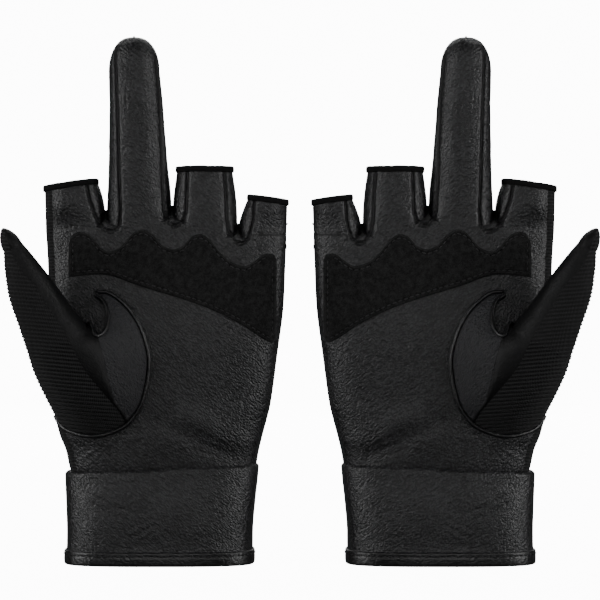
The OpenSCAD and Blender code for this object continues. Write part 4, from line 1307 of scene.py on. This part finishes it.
class GLOVES_OT_thumb_foot(GloveOperator, bpy.types.Operator):
    """Sew the foot of the thumb: gusset, strip and knit set into the palm, piped and stitched round the
    gusset"""

    bl_idname = "gloves.thumb_foot"
    bl_label = "Thumb gusset and foot"

    def execute(self, context):
        sizes, colours = kit(context)
        gusset = dressed_leather("milled_goat_leather_gusset", sizes, colours, gloss=0.48, grain=1.4,
                                 streaks=2.6, shine=0.36)
        strip = strip_leather(sizes, colours)
        knit = thumb_knit(sizes, colours)
        piping = smooth_leather(sizes, colours)
        thread = bonded_thread("bonded_nylon_thread", colours)
        all_down = np.linspace(0, 1, 110)
        fine = np.linspace(2, 120, 237)
        net = hood_point(fine + 0 * all_down[:, None], all_down[:, None] + 0 * fine)
        knit_turn = turn_at(net, fine, KNIT_SEAM)
        point, point_turn = NOTCH
        below_notch = np.linspace(point + 0.012, 1, 110)

        def crease(down):
            """Turning angle of the crease between gusset and strip: from the notch's point it closes on
            the knit's seam as 1 - t to the power 3.5."""
            seam = np.interp(down, all_down, knit_turn)
            left = (1 - np.clip((down - point) / (1 - point), 0, 1)) ** 3.5
            return np.minimum(seam - (seam - point_turn) * left, seam - 1.5)

        for name, cloth, v, t0, t1, cols, cad_name, slot in (
                ("gusset_leather", gusset, below_notch, notch_turn(below_notch), crease(below_notch), 74,
                 "thumb_gusset", "grained_leather"),
                ("foot_strip", strip, all_down,
                 np.where(all_down < point, notch_turn(all_down), crease(all_down)), knit_turn, 40,
                 "thumb_base_strip", "grained_leather"),
                ("foot_knit", knit, all_down, knit_turn, HOOD_END + 0 * all_down, 92,
                 "thumb_base_knit", "ribbed_knit")):
            share = np.linspace(0, 1, cols)[None]
            turns = t0[:, None] + (t1 - t0)[:, None] * share
            p = hood_point(turns, v[:, None] + 0 * turns)
            n = normals_of(p)
            if n[60, cols // 2, 1] > 0:
                n = -n
            joined = ease(v[:, None] / 0.2)
            h = 0.25 * swell(p[..., 0], p[..., 2], 14, 91) * joined
            if name == "gusset_leather":
                # a soft pad, drawn in along its crease and its piping
                below = (v[:, None] - v[0]) / (1.0001 - v[0])
                h = h + 0.9 * np.sin(np.pi * share) ** 0.6 * np.sin(np.pi * below) ** 0.6
                x, z = p[..., 0], p[..., 2]
                h = h + 0.16 * creases(x, z, np.array([[-86, 98], [-83, 84], [-79, 70]]), 1.9, 7, 92)
            if name == "foot_knit":
                h = h + rib_relief(p, sizes.thumb_rib / MM, sizes.rib_height / MM)
            if name == "foot_strip":
                h = h + 0.4 * np.sin(np.pi * share) * joined
            p = p + n * h[..., None]
            if normals_of(p)[60, cols // 2, 1] > 0:
                p = p[:, ::-1]
            for side, mirror in SIDES:
                piece = shell(f"{side}_{name}", p, way_uv(p), cloth, mirror, thick=THIN_CLOTH)
                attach(piece, f"{side}_hand")
                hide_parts(f"{side}_{cad_name}")
        radius = sizes.welt_radius / MM
        notch_down = np.linspace(0.02, 0.97, 40)
        notch = hood_point(notch_turn(notch_down) - 1, notch_down) + [0, -0.2, 0]
        turn = np.linspace(HOOD_START, 176, 80)
        edge = hood_point(turn, 0 * turn + 1)
        rim = np.column_stack([edge[:, 0], palm_y(edge[:, 0], edge[:, 2], radius * 0.55), edge[:, 2]])
        path = curve_through(np.concatenate([notch, rim[1:]]), 260)
        inner = np.array([-88.0, 92.0])
        radial = rim[6:58, [0, 2]] - inner
        radial /= np.linalg.norm(radial, axis=1, keepdims=True)
        sewn_x, sewn_z = rim[6:58, 0] + 1.9 * radial[:, 0], rim[6:58, 2] + 1.9 * radial[:, 1]
        sewn_line = np.column_stack([sewn_x, palm_y(sewn_x, sewn_z, 0.08), sewn_z])
        for side, mirror in SIDES:
            welt = cord_mesh(f"{side}_gusset_welt", path, radius, piping, mirror, 12)
            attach(welt, f"{side}_hand")
            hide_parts(f"{side}_gusset_piping")
            row = stitches(f"{side}_gusset_stitches", [sewn_line], sizes, thread, mirror)
            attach(row, f"{side}_hand")
        return {"FINISHED"}


# ---------------------------------------------------------------- stage
class GLOVES_OT_stage(GloveOperator, bpy.types.Operator):
    """Set the studio: a pale paper sweep, five soft lights and the camera"""

    bl_idname = "gloves.stage"
    bl_label = "Studio"

    def execute(self, context):
        sizes, colours = kit(context)
        scene = context.scene
        # the sweep: flat floor, a quarter circle, and an upright wall behind the gloves
        bend, back, height, front, half = 0.6, 2.2, 3.2, -9.0, 6.0
        turn = np.linspace(0, math.pi / 2, 25)
        y = np.concatenate([np.linspace(front, back, 12), back + bend * np.sin(turn[1:]), [back + bend]])
        z = np.concatenate([np.zeros(12), bend - bend * np.cos(turn[1:]), [height]])
        x = np.linspace(-half, half, 9)
        p = np.stack([x[None] + 0 * y[:, None], y[:, None] + 0 * x[None],
                      z[:, None] + 0 * x[None] - 0.0002], -1) / MM
        rows, cols = p.shape[:2]
        floor = put_mesh("paper_sweep", p.reshape(-1, 3) - [0, MID_DEPTH, 0], grid_quads(rows, cols),
                         way_uv(p).reshape(-1, 2), matt_paper("matt_studio_paper", colours), 1)
        # the paper neither mirrors in the gloves nor lights them, so that the lamps alone shape them
        floor.visible_diffuse = floor.visible_glossy = False
        for name, place, aim, width, tall, watts in (
                ("side_left", (-1.25, -0.55, 0.4), (-0.03, 0, 0.12), 0.35, 1.3, 11),
                ("side_right", (1.25, -0.55, 0.4), (0.03, 0, 0.12), 0.35, 1.3, 11),
                ("key", (0, -2.0, 0.7), (0, 0, 0.1), 1.2, 0.5, 7.5),
                ("behind", (0, 1.5, 0.9), (0, 0, 0.1), 1.2, 0.5, 9),
                ("wall", (0, 1.8, 2.6), (0, 2.7, 0.8), 3.0, 0.6, 60)):
            data = bpy.data.lights.new(name, "AREA")
            data.shape = "RECTANGLE"
            data.size, data.size_y, data.energy = width, tall, watts
            light = bpy.data.objects.new(name, data)
            scene.collection.objects.link(light)
            light.location = place
            way = np.array(aim) - np.array(place)
            light.rotation_euler = Vector(way).to_track_quat("-Z", "Y").to_euler()
        world = scene.world or bpy.data.worlds.new("studio")
        scene.world = world
        world.use_nodes = True
        shade = world.node_tree.nodes.get("Background")
        shade.inputs[0].default_value = (1, 1, 1, 1)
        shade.inputs[1].default_value = 0.06
        camera_data = bpy.data.cameras.new("camera")
        camera_data.sensor_width = 36
        camera_data.lens = 18 / (sizes.view_width / 2 / sizes.camera_way)
        camera = bpy.data.objects.new("camera", camera_data)
        scene.collection.objects.link(camera)
        camera.location = (0, MID_DEPTH * MM - sizes.camera_way, MIDDLE_TOP * MM / 2)
        camera.rotation_euler = (math.pi / 2, 0, 0)
        scene.camera = camera
        return {"FINISHED"}


# ---------------------------------------------------------------- panel
OPERATORS = (GLOVES_OT_stage, GLOVES_OT_palm, GLOVES_OT_back, GLOVES_OT_patch, GLOVES_OT_cuff,
             GLOVES_OT_open_fingers, GLOVES_OT_middle_finger, GLOVES_OT_thumb, GLOVES_OT_thumb_foot)


class GLOVES_PT_pieces(bpy.types.Panel):
    """Sizes, colours and pieces of the gloves"""

    bl_idname = "GLOVES_PT_pieces"
    bl_label = "Gloves"
    bl_space_type = "VIEW_3D"
    bl_region_type = "UI"
    bl_category = "Gloves"

    def draw(self, context):
        for group in kit(context):
            box = self.layout.box()
            for key in group.bl_rna.properties.keys():
                if key not in ("rna_type", "name"):
                    box.prop(group, key)
        for operator in OPERATORS:
            self.layout.operator(operator.bl_idname)


CLASSES = (GloveSizes, GloveColours, *OPERATORS, GLOVES_PT_pieces)


def register():
    """Adds the classes and hangs the settings on the scene."""
    for cls in CLASSES:
        bpy.utils.register_class(cls)
    bpy.types.Scene.glove_sizes = PointerProperty(type=GloveSizes)
    bpy.types.Scene.glove_colours = PointerProperty(type=GloveColours)


def unregister():
    """Takes away what register added."""
    del bpy.types.Scene.glove_colours
    del bpy.types.Scene.glove_sizes
    for cls in reversed(CLASSES):
        bpy.utils.unregister_class(cls)


def main():
    """Sews the gloves piece by piece."""
    register()
    for operator in OPERATORS:
        group, name = operator.bl_idname.split(".")
        getattr(getattr(bpy.ops, group), name)()


if __name__ == "__main__":
    main()
